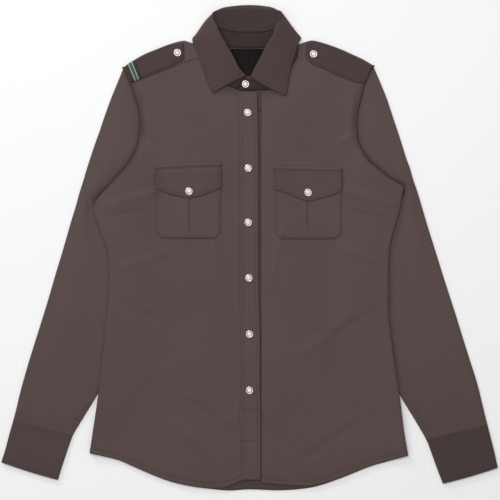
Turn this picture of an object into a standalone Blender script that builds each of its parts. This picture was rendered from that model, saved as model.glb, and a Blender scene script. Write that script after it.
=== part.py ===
# A long-sleeved shirt with snaps, laid flat on its back with its front up.
# Metres, +Z up. +Y runs to the collar, +X to the wearer's left.
# Tables are in millimetres from the middle of the laid-out shirt.
import math

import bmesh
import bpy
from mathutils import Vector

MM = 0.001

# Cloth and the way that it lies
CLOTH = 1.0
PLY_GAP = 0.35
SEAM_GAP = 0.5
CUFF_CLOTH = 1.5
SLEEVE_HEIGHT = 2.8
CUFF_HEIGHT = 3.8
YOKE_HEIGHT = 2.8
FOLD_INSET = 1.5
SLEEVE_LOFT = 2.0

# The body rises over the sleeves that are tucked under its sides
BODY_RISE = 3.4
RISE_WIDTH = 70.0
RISE_MARGIN = 10.0
RISE_EASE = 0.95
SPARE_ONSET = 4.0
TOP_SPARE = 0.76
TOP_SPARE_ONSET = 8.0
FOLD_LIFT = 0.2

# Snaps
SNAP_DIAMETER = 12.4
SNAP_HEIGHT = 2.4
SNAP_SIDES = 16
SNAP_GAP = 0.1

# Colours: red, green, blue, roughness, metallic
FINISHES = {
    "taupe_cotton": (0.095, 0.067, 0.065, 0.62, 0.0),
    "ribbed_band": (0.045, 0.055, 0.050, 0.70, 0.0),
    "woven_label": (0.012, 0.009, 0.009, 0.60, 0.0),
    "pearl_snap": (0.78, 0.74, 0.72, 0.30, 0.35),
}

# Armhole seam from the shoulder fold to the armpit: x, y
ARMHOLE_RIGHT = (
    (-206, 298), (-196, 273), (-188, 250), (-181, 226), (-179, 200), (-182, 176),
    (-190, 153), (-203, 134), (-219, 116), (-236, 97), (-252, 78),
)
ARMHOLE_LEFT = (
    (202, 301), (190, 275), (184, 251), (178, 226), (176, 205), (177, 185),
    (183, 165), (196, 145), (212, 130), (231, 115), (253, 101),
)

# Side seam from the armpit to the hem corner: x, y
SIDE_RIGHT = (
    (-255, 58), (-247, 34), (-237, 8), (-231, -16), (-230, -55), (-233, -95),
    (-237, -135), (-241, -175), (-245, -215), (-250, -255), (-256, -295), (-262, -335),
)
SIDE_LEFT = (
    (249, 78), (244, 55), (236, 29), (230, 4), (228, -28), (228, -66),
    (228, -107), (233, -150), (239, -195), (246, -242), (253, -298), (260, -339),
)

# Sleeve sections across each sleeve, from the shoulder to the cuff: outer x, y, inner x, y, and
# the share of the width that is lofted. The inner ends follow the armhole and then run under the body.
SLEEVE_RIGHT = (
    (-207.5, 294, -200.5, 284.3, 1.0), (-212, 283, -196, 273, 1.0), (-221, 261, -188, 250, 1.0),
    (-229, 241, -181, 226, 1.0), (-238, 216, -179, 200, 1.0), (-246, 192, -182, 176, 1.0),
    (-254, 170, -190, 153, 1.0), (-261, 149, -203, 134, 1.0), (-267, 130, -219, 116, 1.0),
    (-273, 110, -236, 97, 1.0), (-279, 91, -252, 78, 1.0), (-285, 69, -245, 54, 0.65),
    (-293, 43, -234, 30, 0.65), (-303, 8, -219, -3, 0.65), (-311, -19, -208, -38, 0.65),
    (-318, -42, -203, -64, 0.60), (-332, -90, -202, -112, 0.60), (-347, -138, -212, -156, 0.65),
    (-362, -186, -230, -202, 0.75), (-375, -232, -251, -242, 1.0), (-381, -257, -271, -275, 1.0),
    (-387, -281, -290, -306, 1.0),
)
SLEEVE_LEFT = (
    (203.5, 297.5, 196, 288, 1.0), (209, 285, 190, 275, 1.0), (217, 266, 184, 251, 1.0),
    (225, 246, 178, 226, 1.0), (232, 225, 176, 205, 1.0), (239, 204, 177, 185, 1.0),
    (246, 183, 183, 165, 1.0), (252, 164, 196, 145, 1.0), (257, 148, 212, 130, 1.0),
    (263, 132, 231, 115, 1.0), (268, 114, 253, 101, 1.0), (275, 94, 248, 80, 0.90),
    (283, 67, 238, 55, 0.75), (291, 40, 224, 25, 0.70), (301, 8, 211, -7, 0.65),
    (311, -24, 204, -42, 0.65), (321, -56, 200.6, -78, 0.65), (337, -105, 203, -122, 0.65),
    (349, -144, 211, -160, 0.70), (361, -182, 226, -198, 0.75), (373, -220, 247, -241, 1.0),
    (382, -256, 268, -276, 1.0), (390, -289, 290, -313, 1.0),
)
SLEEVE_PLACES = 9

# Cuff sections from the sleeve to the wrist: outer x, outer y, inner x, inner y, dip
CUFF_RIGHT = (
    (-387.3, -282, -290.3, -307, 0),
    (-394, -305, -299, -332, 1),
    (-400, -328, -307, -356, 2),
    (-407, -350, -314, -379, 3),
)
CUFF_LEFT = (
    (390.3, -290, 290.6, -314, 0),
    (396, -312, 299, -337, 1),
    (402, -336, 308, -362, 2),
    (407, -359, 317, -385, 3),
)
CUFF_PLACES = 7
CUFF_BOW = 0.4

# Inner edge of the tucked sleeves, where the body rises: y, right x, left x
TUCK = (
    (200, 320, 320), (165, 240, 240), (135, 212, 212), (110, 212, 214), (80, 226, 228),
    (45, 236, 234), (12, 224, 221), (-20, 210, 207), (-60, 201, 198), (-108, 200, 197),
    (-156, 210, 207), (-205, 229, 227), (-243, 250, 248), (-275, 272, 270), (-340, 305, 303),
)

# Neckline of each front panel, from the shoulder seam to the placket: x, y
NECKLINE_RIGHT = ((-67, 296), (-52, 279), (-30, 265), (-10, 259), (11, 258))
NECKLINE_LEFT = ((67, 296), (55, 279), (42, 266), (30, 260), (19.5, 258))
HEM_RIGHT = (
    (-262, -335), (-240, -340), (-213, -347), (-188, -358), (-165, -368), (-140, -378),
    (-112, -386), (-85, -391), (-60, -393), (-38, -391), (-14, -381), (11, -379),
)
HEM_LEFT = (
    (260, -339), (238, -345), (212, -352), (188, -360), (165, -369), (145, -377),
    (124, -384), (103, -389), (82, -389), (60, -388), (38, -386), (19.5, -384),
)
HEM_BACK = (
    (-261, -334), (-213, -346), (-148, -374), (-108, -386), (-43, -395), (1, -393.5),
    (53, -395), (103, -390), (147, -376), (197, -356), (225, -348), (259, -338),
)

# Shoulder fold from the armhole to the neck, and the seam in front of it: x, y
FOLD_RIGHT = ((-206, 298), (-193, 307), (-172, 319), (-150, 328), (-126, 337), (-108, 341),
              (-97, 338), (-80, 334.5))
FOLD_LEFT = ((202, 301), (187, 310), (170, 318), (150, 327), (128, 335), (106, 341),
             (95, 340), (80, 334.5))
SEAM_RIGHT = ((-196, 273), (-176, 279.5), (-156, 286.5), (-140, 292), (-122, 299),
              (-106, 305), (-94, 308.5), (-77.5, 311.5))
SEAM_LEFT = ((190, 275), (172, 281.5), (153, 288.5), (138, 294), (122, 300),
             (106, 305), (94, 308.5), (77.5, 311.5))
BACK_NECK = ((-72, 333), (-46, 331), (-23, 329), (0, 328), (23, 329), (46, 331), (72, 333))
YOKE_SEAM_Y = 226.0
YOKE_FOOT_X = 62.0
BACK_CLIMB = (0.0, 0.33, 0.66, 1.0)
FRONT_CLIMB = (0.0, 0.5, 1.0)

# Collar sections from one front edge round the back to the other:
# neck x, y, z, roll x, y, z, turn x, y, z, edge x, y, z, seam's share of the way to the roll,
# share of the half turn that takes the fall from above the band to below it
COLLAR = (
    (-20.5, 262, 3.3, -6, 284, 9.5, -34, 269, 8.2, -60, 254, 5.6, 0.84, 0),
    (-34, 267, 3.3, -17, 296, 12.5, -44, 283, 9.8, -68, 271, 5.8, 0.80, 0),
    (-52, 279, 3.3, -26, 314, 15.0, -52, 301, 11.5, -75, 291, 5.8, 0.78, 0),
    (-66, 296, 3.6, -37, 333, 17.0, -61, 320, 12.5, -81, 309, 5.9, 0.76, 0),
    (-75, 314, 4.0, -46, 349, 18.0, -68, 336, 13.0, -86, 325, 6.8, 0.72, 0.1),
    (-79, 328, 4.4, -54, 366, 17.5, -78, 350, 11.5, -93, 338, 6.2, 0.66, 0.35),
    (-72, 337, 4.0, -60, 381, 15.0, -82, 356, 7.5, -92, 347, 3.4, 0.58, 0.6),
    (-56, 335, 3.0, -58, 388, 12.0, -74, 371, 3.6, -78, 357, 0.0, 0.52, 0.85),
    (-40, 332, 2.5, -46, 392, 9.5, -50, 388, 2.6, -50, 354, 0.0, 0.44, 1),
    (-20, 330, 2.4, -23, 394, 7.4, -24, 393, 2.2, -24, 351, 0.0, 0.39, 1),
    (0, 329.3, 2.4, -1, 394.6, 7.0, -1, 394.2, 2.0, -1, 350, 0.0, 0.38, 1),
    (20, 330, 2.4, 21, 394, 7.4, 22, 393, 2.2, 22, 351, 0.0, 0.39, 1),
    (40, 332, 2.5, 40, 392, 9.5, 44, 388, 2.6, 46, 354, 0.0, 0.44, 1),
    (56, 335, 3.0, 52, 388, 12.0, 66, 369, 3.6, 70, 357, 0.0, 0.52, 0.85),
    (72, 337, 4.0, 50, 380, 15.0, 73, 357, 7.5, 84, 347, 3.4, 0.58, 0.6),
    (79, 328, 4.4, 44, 366, 17.5, 66, 350, 11.5, 81, 338, 7.2, 0.66, 0.35),
    (77, 314, 4.0, 37, 348, 18.0, 60, 334, 13.0, 76, 322, 7.3, 0.72, 0.1),
    (68, 296, 3.6, 27, 331, 17.0, 50, 315, 12.5, 70, 304, 6.9, 0.76, 0),
    (56, 279, 3.3, 17, 312, 15.0, 42, 296, 11.5, 66, 284, 5.8, 0.78, 0),
    (42, 267, 3.3, 8, 295, 12.5, 36, 278, 9.8, 63, 266, 5.8, 0.80, 0),
    (26, 261, 3.3, 1, 281, 10.5, 30, 264, 8.6, 60, 250, 5.8, 0.84, 0),
)
COLLAR_CLOTH = 1.0
ROLL_RADIUS = 1.6
NECK_CENTRE = (0.0, 340.0)
BAND_END = ((-19.0, 259.5, 3.6), (-9.5, 279.3, 4.8))

# Placket down the front: y, free edge x, seam x
PLACKET = (
    (257.6, -18, 12.5), (235, -17.5, 13), (206, -17, 13.5), (170, -16.5, 14), (121, -16, 14),
    (80, -16, 14), (40, -16, 14), (0, -16, 14), (-40, -16, 14.5), (-81, -16, 15),
    (-107, -15.5, 16), (-133, -15, 17), (-160, -14.5, 17), (-186, -14, 17), (-210, -13.5, 17),
    (-230, -13, 17), (-250, -15, 18), (-265, -17, 18.5), (-285, -16, 18.5), (-310, -14, 18.5),
    (-340, -13.5, 18.5), (-362, -13, 18.5), (-379, -13, 18.5),
)
UNDERLAP_X = 11.0
OVERLAP_X = 19.5

# Breast pockets: corner x, top y, width, height, corner cut
POCKET_RIGHT = (-153, 120, 106, 103, 9)
POCKET_LEFT = (42.5, 119, 108, 103, 9)

# Flap sections across the pocket: x, top y, bottom y
FLAP_RIGHT = (
    (-154.5, 137, 98), (-147, 138, 96), (-130, 139, 89), (-114, 140, 85.5), (-98.5, 141, 82),
    (-82, 141.5, 86), (-67, 142, 91.5), (-53, 142, 97), (-46, 142, 101),
)
FLAP_LEFT = (
    (40, 136, 97), (47, 136, 95), (62, 136, 90), (80, 135.5, 82), (98.5, 135.5, 77),
    (116, 135, 82.5), (132, 135, 86.5), (145, 135, 91), (151, 135, 98),
)

FLAP_SEAM_Y = 134.0
FLAP_DROP = 10.0
FLAP_SPARE = 0.5

# Epaulette sections from the sleeve to the tip: lower x, y, upper x, y
EPAULETTE_RIGHT = (
    (-195, 273, -206, 297), (-177, 279, -192, 306), (-158, 287, -172, 318),
    (-141, 294, -151, 327), (-125, 301, -130, 335), (-107, 311, -108, 337),
)
EPAULETTE_LEFT = (
    (188.5, 272, 202, 300), (175, 272, 186, 309), (157, 279, 169, 317),
    (137, 287, 147, 327), (118, 296, 126, 335), (101, 303, 106, 340), (92, 317, 93, 337),
)
EPAULETTE_CLOTH = 1.2
FLAT_FRONT = (0.0, 200.0)

# Band round the right epaulette, as shares of the first stretch from the sleeve
BAND_FROM = 0.04
BAND_TO = 1.15

# Snap places: x, y, and for the band the height of its seat
FRONT_SNAPS = ((-3, 223), (-2, 132), (-2, 43), (-1, -48), (0, -140), (0, -232))
BAND_SNAP = (-6.5, 269.5, 6.7)
FLAP_SNAPS = {"right": (-99, 94), "left": (96, 92)}
EPAULETTE_SNAPS = {"right": (-118, 321), "left": (105, 319)}

# Neck label: left x, right x, top y, bottom y
NECK_LABEL = (-32, 23, 327.5, 284)

# Largest soft folds: start x, y, end x, y, half width, height
FOLDS = (
    (4, -238, 88, -352, 34, 1.5),
    (-70, -300, 6, -268, 30, 1.1),
    (-176, 258, -168, 165, 24, 1.2),
    (172, 258, 166, 165, 24, 1.3),
    (-205, -20, -120, -60, 34, 1.1),
    (205, -60, 120, -30, 34, 1.1),
    (-190, -250, -120, -200, 36, 1.0),
    (175, -250, 120, -170, 36, 1.0),
)


def between(rows, value, column):
    """Read one column of a table whose first column falls from row to row."""
    for upper, lower in zip(rows, rows[1:]):
        if value >= lower[0]:
            share = (upper[0] - value) / (upper[0] - lower[0])
            share = min(1.0, max(0.0, share))
            return upper[column] + (lower[column] - upper[column]) * share
    return rows[-1][column]


def ease(value):
    """Turn a straight climb from 0 to 1 into a soft one."""
    value = min(1.0, max(0.0, value))
    return value * value * (3.0 - 2.0 * value)


def rise(x, y):
    """Share of the body's rise over a tucked sleeve, from 0 to 1."""
    column = 1 if x < 0 else 2
    inner = between(TUCK, y, column) - RISE_MARGIN
    return ease((abs(x) - inner + RISE_WIDTH) / RISE_WIDTH)


def fold_height(x, y):
    """Height that the largest folds add to the fronts."""
    total = 0.0
    for start_x, start_y, end_x, end_y, half_width, height in FOLDS:
        run = Vector((end_x - start_x, end_y - start_y))
        offset = Vector((x - start_x, y - start_y))
        along = offset.dot(run) / run.length
        across = abs(offset.x * run.y - offset.y * run.x) / run.length
        beyond = max(0.0, -along, along - run.length)
        away = math.hypot(across, beyond) / half_width
        total += height * ease(1.0 - away)
    return total


def back_under(x, y):
    """Underside of the back panel."""
    return BODY_RISE * rise(x, y)


def front_under(x, y):
    """Underside of the front panels, which lie on the back."""
    share = rise(x, y)
    spare = RISE_EASE * min(1.0, SPARE_ONSET * share)
    return back_under(x, y) + CLOTH + PLY_GAP + spare + fold_height(x, y)


def front_top(x, y):
    """Upper side of the front panels, with room for what is sewn on."""
    spare = TOP_SPARE * min(1.0, TOP_SPARE_ONSET * rise(x, y))
    return front_under(x, y) + CLOTH + PLY_GAP + spare + FOLD_LIFT * fold_height(x, y)


def resample(points, count):
    """Give a polyline the wanted number of points, evenly spaced."""
    lengths = [0.0]
    for first, second in zip(points, points[1:]):
        lengths.append(lengths[-1] + math.dist(first, second))
    result = []
    for index in range(count):
        target = lengths[-1] * index / (count - 1)
        place = 0
        while place < len(points) - 2 and lengths[place + 1] < target:
            place += 1
        share = (target - lengths[place]) / (lengths[place + 1] - lengths[place])
        result.append(tuple(a + (b - a) * share for a, b in zip(points[place], points[place + 1])))
    return result


def patch(left, right, top, bottom):
    """Fill the space between four edges with rows of points."""
    rows = []
    row_count = len(left) - 1
    column_count = len(top) - 1
    for row in range(row_count + 1):
        down = row / row_count
        line = []
        for column in range(column_count + 1):
            over = column / column_count
            point = []
            for axis in (0, 1):
                sides = left[row][axis] * (1 - over) + right[row][axis] * over
                ends = top[column][axis] * (1 - down) + bottom[column][axis] * down
                corners = (
                    (top[0][axis] * (1 - over) + top[-1][axis] * over) * (1 - down)
                    + (bottom[0][axis] * (1 - over) + bottom[-1][axis] * over) * down
                )
                point.append(sides + ends - corners)
            line.append(tuple(point))
        rows.append(line)
    return rows


def material(name):
    """Make or find one finish."""
    found = bpy.data.materials.get(name)
    if found:
        return found
    red, green, blue, roughness, metallic = FINISHES[name]
    made = bpy.data.materials.new(name)
    made.use_nodes = True
    shader = made.node_tree.nodes["Principled BSDF"]
    shader.inputs["Base Color"].default_value = (red, green, blue, 1.0)
    shader.inputs["Roughness"].default_value = roughness
    shader.inputs["Metallic"].default_value = metallic
    made.diffuse_color = (red, green, blue, 1.0)
    return made


def mesh_object(name, mesh_data, finish):
    """Turn a bmesh into a named, smooth object with its finish."""
    bmesh.ops.recalc_face_normals(mesh_data, faces=mesh_data.faces)
    mesh = bpy.data.meshes.new(name)
    mesh_data.to_mesh(mesh)
    mesh_data.free()
    mesh.shade_smooth()
    mesh.set_sharp_from_angle(angle=math.radians(40))
    mesh.materials.append(material(finish))
    piece = bpy.data.objects.new(name, mesh)
    bpy.context.scene.collection.objects.link(piece)
    return piece


def add_wall(name, under, over, finish="taupe_cotton", ring=False):
    """Close two layers of points into one cloth wall; a ring's rows run all round."""
    mesh_data = bmesh.new()
    layers = []
    for rows in (under, over):
        layers.append([[mesh_data.verts.new([value * MM for value in point]) if point else None
                        for point in row] for row in rows])
    for layer in layers:
        for upper, lower in zip(layer, layer[1:]):
            width = len(upper)
            for column in range(width if ring else width - 1):
                after = (column + 1) % width
                corners = (upper[column], lower[column], lower[after], upper[after])
                if None not in corners:
                    mesh_data.faces.new(corners)
    partner = {}
    for row, mate_row in zip(*layers):
        partner.update((vert, mate) for vert, mate in zip(row, mate_row) if vert)
    for edge in [edge for edge in mesh_data.edges if edge.is_boundary]:
        first, second = edge.verts
        if first in partner and second in partner:
            mesh_data.faces.new((first, second, partner[second], partner[first]))
    return mesh_object(name, mesh_data, finish)


def add_sheet(name, rows, height, thickness=CLOTH, finish="taupe_cotton"):
    """A sheet that lies on what is under it, from rows of x, y points."""
    under = [[(x, y, height(x, y)) for x, y in row] for row in rows]
    over = [[(x, y, z + thickness) for x, y, z in row] for row in under]
    return add_wall(name, under, over, finish)


def step_towards(start, target, distance):
    """Move a point a set distance towards another one."""
    length = math.dist(start, target)
    return tuple(a + (b - a) * distance / length for a, b in zip(start, target))


def mix(first, second, share):
    """A point on the way from one to another."""
    return tuple(a + (b - a) * share for a, b in zip(first, second))


def add_back():
    """The back panel, from the yoke seam to the shirt tail."""
    top_y = YOKE_SEAM_Y - SEAM_GAP
    top = resample(((ARMHOLE_RIGHT[3][0], top_y), (ARMHOLE_LEFT[3][0], top_y)), 18)
    hem = resample(HEM_BACK, 18)
    right = [top[0], *ARMHOLE_RIGHT[4:], *SIDE_RIGHT[:-1], hem[0]]
    left = [top[-1], *ARMHOLE_LEFT[4:], *SIDE_LEFT[:-1], hem[-1]]
    add_sheet("back", patch(right, left, top, hem), back_under)


def shoulder_columns(fold, seam, armhole, neck_top, neck_foot):
    """One shoulder of the yoke: columns of outer and inner points, back seam first."""
    columns = []
    last = len(fold) - 1
    for index, (fold_point, seam_point) in enumerate(zip(fold, seam)):
        foot = (armhole[3][0] + (neck_foot - armhole[3][0]) * index / last, YOKE_SEAM_Y)
        under_inset = step_towards(fold_point, foot, FOLD_INSET)
        over_inset = step_towards(fold_point, seam_point, FOLD_INSET)
        inner_inset = step_towards(fold_point, seam_point, FOLD_INSET + CLOTH)
        outer = [(*mix(foot, under_inset, climb), 0.0) for climb in BACK_CLIMB]
        if index == 0:
            outer[1:3] = [(*armhole[2], 0.0), (*armhole[1], 0.0)]
        if index == last:
            outer[3] = (*neck_top, 0.0)
        inner = [(x, y, CLOTH) for x, y, z in outer]
        if index < last:
            inner[3] = (*step_towards(fold_point, foot, FOLD_INSET + CLOTH), CLOTH)
        outer.append((*fold_point, YOKE_HEIGHT / 2))
        inner.append((*step_towards(fold_point, seam_point, CLOTH), YOKE_HEIGHT / 2))
        for climb in FRONT_CLIMB:
            outer.append((*mix(over_inset, seam_point, climb), YOKE_HEIGHT))
            inner.append((*mix(inner_inset, seam_point, climb), YOKE_HEIGHT - CLOTH))
        columns.append((outer, inner))
    return columns


def add_yoke():
    """The yoke: one piece over the back and both shoulders, open at the neck."""
    right = shoulder_columns(FOLD_RIGHT, SEAM_RIGHT, ARMHOLE_RIGHT, BACK_NECK[0], -YOKE_FOOT_X)
    left = shoulder_columns(FOLD_LEFT, SEAM_LEFT, ARMHOLE_LEFT, BACK_NECK[-1], YOKE_FOOT_X)
    depth = len(right[0][0])
    middle = []
    for index, neck in enumerate(BACK_NECK[1:-1]):
        base = (YOKE_FOOT_X * ((index + 1) * 2 / (len(BACK_NECK) - 1) - 1), YOKE_SEAM_Y)
        outer = [(*mix(base, neck, climb), 0.0) for climb in BACK_CLIMB]
        inner = [(x, y, CLOTH) for x, y, z in outer]
        blank = [None] * (depth - len(outer))
        middle.append((outer + blank, inner + blank))
    columns = right + middle + left[::-1]
    add_wall("yoke", [outer for outer, inner in columns], [inner for outer, inner in columns])


def add_fronts():
    """Both front panels; the wearer's right one runs on under the placket."""
    for name, edge_x, edges in (
        ("front_right", UNDERLAP_X, (ARMHOLE_RIGHT, SIDE_RIGHT, SEAM_RIGHT, NECKLINE_RIGHT, HEM_RIGHT)),
        ("front_left", OVERLAP_X, (ARMHOLE_LEFT, SIDE_LEFT, SEAM_LEFT, NECKLINE_LEFT, HEM_LEFT)),
    ):
        armhole, side, seam, neckline, hem = edges
        top = [(x, y - SEAM_GAP) for x, y in seam] + list(neckline)
        bottom = resample(hem, len(top))
        outer = [top[0], *armhole[2:], *side[:-1], bottom[0]]
        drop = (top[-1][1] - bottom[-1][1]) / (outer[0][1] - outer[-1][1])
        inner = [(edge_x, top[-1][1] - (outer[0][1] - point[1]) * drop) for point in outer]
        add_sheet(name, patch(outer, inner, top, bottom), front_under)


def add_placket():
    """The stitched strip that carries the front snaps."""
    rows = [[mix((free_edge, y), (seam, y), step / 3) for step in range(4)]
            for y, free_edge, seam in PLACKET]
    add_sheet("placket", rows, front_top)


def row_between(first, last, inset, count):
    """Evenly spaced points across a tube, kept clear of its two folded edges."""
    start = step_towards(first, last, inset)
    end = step_towards(last, first, inset)
    return [mix(start, end, step / (count - 1)) for step in range(count)]


def flat_tube(outer_edge, inner_edge, height, thickness, crowns, bow=0.0):
    """One flat ring across a tube: its outer and inner points."""
    count = len(crowns)
    rings = []
    for depth in (0.0, thickness):
        places = row_between(outer_edge, inner_edge, FOLD_INSET + depth, count)
        places = [(x, y - bow * math.sin(math.pi * step / (count - 1)))
                  for step, (x, y) in enumerate(places)]
        ring = [(*step_towards(outer_edge, inner_edge, depth), height / 2)]
        ring += [(*place, height - depth + crown) for place, crown in zip(places, crowns)]
        ring.append((*step_towards(inner_edge, outer_edge, depth), height / 2))
        ring += [(*place, depth) for place in reversed(places)]
        rings.append(ring)
    return rings


def add_sleeves():
    """Both sleeves: flat tubes that run from the armhole under the body and out again."""
    for name, sections, side in (("sleeve_right", SLEEVE_RIGHT, -1), ("sleeve_left", SLEEVE_LEFT, 1)):
        rings = []
        for index, (outer_x, outer_y, inner_x, inner_y, lofted) in enumerate(sections):
            loft = SLEEVE_LOFT * math.sin(math.pi * index / (len(sections) - 1))
            crowns = []
            for step in range(SLEEVE_PLACES):
                share = step / (SLEEVE_PLACES - 1)
                crowns.append(loft * math.sin(math.pi * min(1.0, share / lofted)) ** 2)
            outer_edge = (outer_x, outer_y)
            inner_edge = (inner_x + side * SEAM_GAP, inner_y)
            rings.append(flat_tube(outer_edge, inner_edge, SLEEVE_HEIGHT, CLOTH, crowns))
        add_wall(name, [ring[0] for ring in rings], [ring[1] for ring in rings], ring=True)


def add_cuffs():
    """Both cuffs: stiffer flat tubes at the sleeves' ends."""
    for name, sections in (("cuff_right", CUFF_RIGHT), ("cuff_left", CUFF_LEFT)):
        rings = []
        for outer_x, outer_y, inner_x, inner_y, dip in sections:
            rings.append(flat_tube((outer_x, outer_y), (inner_x, inner_y), CUFF_HEIGHT, CUFF_CLOTH,
                                   [0.0] * CUFF_PLACES, bow=dip * CUFF_BOW))
        add_wall(name, [ring[0] for ring in rings], [ring[1] for ring in rings], ring=True)


def add_turned_wall(name, rows, thickness):
    """A wall that bends over: rows of its outer side, thickened inwards."""
    mesh_data = bmesh.new()
    grid = [[mesh_data.verts.new([value * MM for value in point]) for point in row] for row in rows]
    for upper, lower in zip(grid, grid[1:]):
        for column in range(len(upper) - 1):
            mesh_data.faces.new((upper[column], lower[column], lower[column + 1], upper[column + 1]))
    mesh = bpy.data.meshes.new(name)
    mesh_data.to_mesh(mesh)
    mesh_data.free()
    mesh.shade_smooth()
    mesh.materials.append(material("taupe_cotton"))
    piece = bpy.data.objects.new(name, mesh)
    bpy.context.scene.collection.objects.link(piece)
    wall = piece.modifiers.new("cloth", "SOLIDIFY")
    wall.thickness = thickness * MM
    wall.offset = -1.0
    wall.use_rim = True


def add_collar():
    """The collar band round the neck, and the fall that turns over it."""
    band_rows = []
    fall_rows = []
    for *places, seam_share, half_turn in COLLAR:
        neck, roll, turn, edge = (Vector(places[start:start + 3]) for start in (0, 3, 6, 9))
        forward = Vector((roll.x - neck.x, roll.y - neck.y, 0.0)).normalized()
        inward = Vector((NECK_CENTRE[0] - roll.x, NECK_CENTRE[1] - roll.y, 0.0)).normalized()
        centre = roll - forward * ROLL_RADIUS - Vector((0.0, 0.0, ROLL_RADIUS))
        swing = inward * math.sin(math.pi * half_turn)
        swing.z = -math.cos(math.pi * half_turn)
        before = centre + swing * ROLL_RADIUS
        after = centre - swing * ROLL_RADIUS
        tip = centre + forward * ROLL_RADIUS
        seam = neck.lerp(before, seam_share)
        start = seam + (before - seam).normalized() * SEAM_GAP
        band_rows.append([neck.lerp(seam, step / 3) for step in range(4)])
        fall_rows.append([
            start, start.lerp(before, 0.5), before, tip, after,
            after.lerp(turn, 0.5), turn, turn.lerp(edge, 0.5), edge,
        ])
    band_rows.append([mix(*BAND_END, step / 3) for step in range(4)])
    add_turned_wall("collar_band", band_rows, COLLAR_CLOTH)
    add_turned_wall("collar_fall", fall_rows, COLLAR_CLOTH)


def flap_under(x, y):
    """Underside of a flap, which drops to the front at its seam."""
    spare = FLAP_SPARE * min(1.0, TOP_SPARE_ONSET * rise(x, y))
    return front_top(x, y) + (CLOTH + PLY_GAP + spare) * ease((FLAP_SEAM_Y - y) / FLAP_DROP)


def add_pockets():
    """Both breast pockets, each with cut lower corners, and the pointed flaps over them."""
    for name, (left_x, top_y, width, height, cut) in (
        ("pocket_right", POCKET_RIGHT), ("pocket_left", POCKET_LEFT),
    ):
        rows = []
        for step in range(6):
            y = top_y - height * min(1.0, step / 5)
            pinch = cut if step == 5 else 0.0
            if step == 4:
                y = top_y - height + cut
            rows.append([(left_x + pinch + (width - 2 * pinch) * share / 8, y) for share in range(9)])
        add_sheet(name, rows, front_top)
    for name, sections in (("flap_right", FLAP_RIGHT), ("flap_left", FLAP_LEFT)):
        rows = [[(x, top_y + (bottom_y - top_y) * step / 5) for step in range(6)]
                for x, top_y, bottom_y in sections]
        add_sheet(name, rows, flap_under)


def epaulette_under(x, y):
    """Underside of an epaulette, on the yoke and the front."""
    return YOKE_HEIGHT + PLY_GAP + front_top(x, y) - front_top(*FLAT_FRONT)


def add_epaulettes():
    """Both epaulettes, with a striped band round the one on the right shoulder."""
    for name, sections in (("epaulette_right", EPAULETTE_RIGHT), ("epaulette_left", EPAULETTE_LEFT)):
        rows = [[mix((x, y), (far_x, far_y), step / 4) for step in range(5)]
                for x, y, far_x, far_y in sections]
        add_sheet(name, rows, epaulette_under, thickness=EPAULETTE_CLOTH)
    lower = (EPAULETTE_RIGHT[0][:2], EPAULETTE_RIGHT[1][:2])
    upper = (EPAULETTE_RIGHT[0][2:], EPAULETTE_RIGHT[1][2:])
    rows = []
    for step in range(4):
        share = BAND_FROM + (BAND_TO - BAND_FROM) * step / 3
        near, far = mix(*lower, share), mix(*upper, share)
        rows.append([mix(near, far, place / 4) for place in range(5)])
    add_sheet("epaulette_band", rows,
              lambda x, y: epaulette_under(x, y) + EPAULETTE_CLOTH + PLY_GAP, finish="ribbed_band")


def add_label():
    """The woven label inside the back of the neck."""
    left_x, right_x, top_y, bottom_y = NECK_LABEL
    rows = [[(left_x + (right_x - left_x) * step / 4, y) for step in range(5)]
            for y in (top_y, (top_y + bottom_y) / 2, bottom_y)]
    add_sheet("neck_label", rows, lambda x, y: CLOTH + PLY_GAP, finish="woven_label")


def add_snap(name, x, y, base):
    """A round pearl snap: metal rim and domed cap in one turned solid."""
    radius = SNAP_DIAMETER / 2
    profile = (
        (0.0, 0.0), (radius * 0.86, 0.0), (radius, 0.5), (radius, 1.2), (radius * 0.88, 1.7),
        (radius * 0.74, 1.45), (radius * 0.55, 2.1), (0.0, SNAP_HEIGHT),
    )
    mesh_data = bmesh.new()
    verts = [mesh_data.verts.new((away * MM, 0.0, up * MM)) for away, up in profile]
    edges = [mesh_data.edges.new(pair) for pair in zip(verts, verts[1:])]
    bmesh.ops.spin(mesh_data, geom=verts + edges, cent=(0, 0, 0), axis=(0, 0, 1),
                   angle=math.tau, steps=SNAP_SIDES, use_merge=True)
    bmesh.ops.remove_doubles(mesh_data, verts=mesh_data.verts, dist=1e-6)
    piece = mesh_object(name, mesh_data, "pearl_snap")
    piece.location = (x * MM, y * MM, base * MM)


def add_snaps():
    """Six snaps down the placket, one on the band, two on the flaps, two on the epaulettes."""
    ply = CLOTH + PLY_GAP
    for index, (x, y) in enumerate(FRONT_SNAPS):
        add_snap("snap_front_%d" % (index + 1), x, y, front_top(x, y) + ply + SNAP_GAP)
    add_snap("snap_band", *BAND_SNAP)
    for side, (x, y) in FLAP_SNAPS.items():
        add_snap("snap_flap_" + side, x, y, flap_under(x, y) + ply)
    for side, (x, y) in EPAULETTE_SNAPS.items():
        add_snap("snap_epaulette_" + side, x, y, epaulette_under(x, y) + EPAULETTE_CLOTH + PLY_GAP)


def clear_scene():
    """Start from an empty scene."""
    for item in list(bpy.data.objects):
        bpy.data.objects.remove(item, do_unlink=True)


clear_scene()
add_back()
add_yoke()
add_fronts()
add_placket()
add_sleeves()
add_cuffs()
add_collar()
add_pockets()
add_epaulettes()
add_label()
add_snaps()
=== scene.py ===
import math
from bisect import bisect_right
from functools import lru_cache

import bmesh
import bpy
from mathutils import Matrix, Vector, noise


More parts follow.
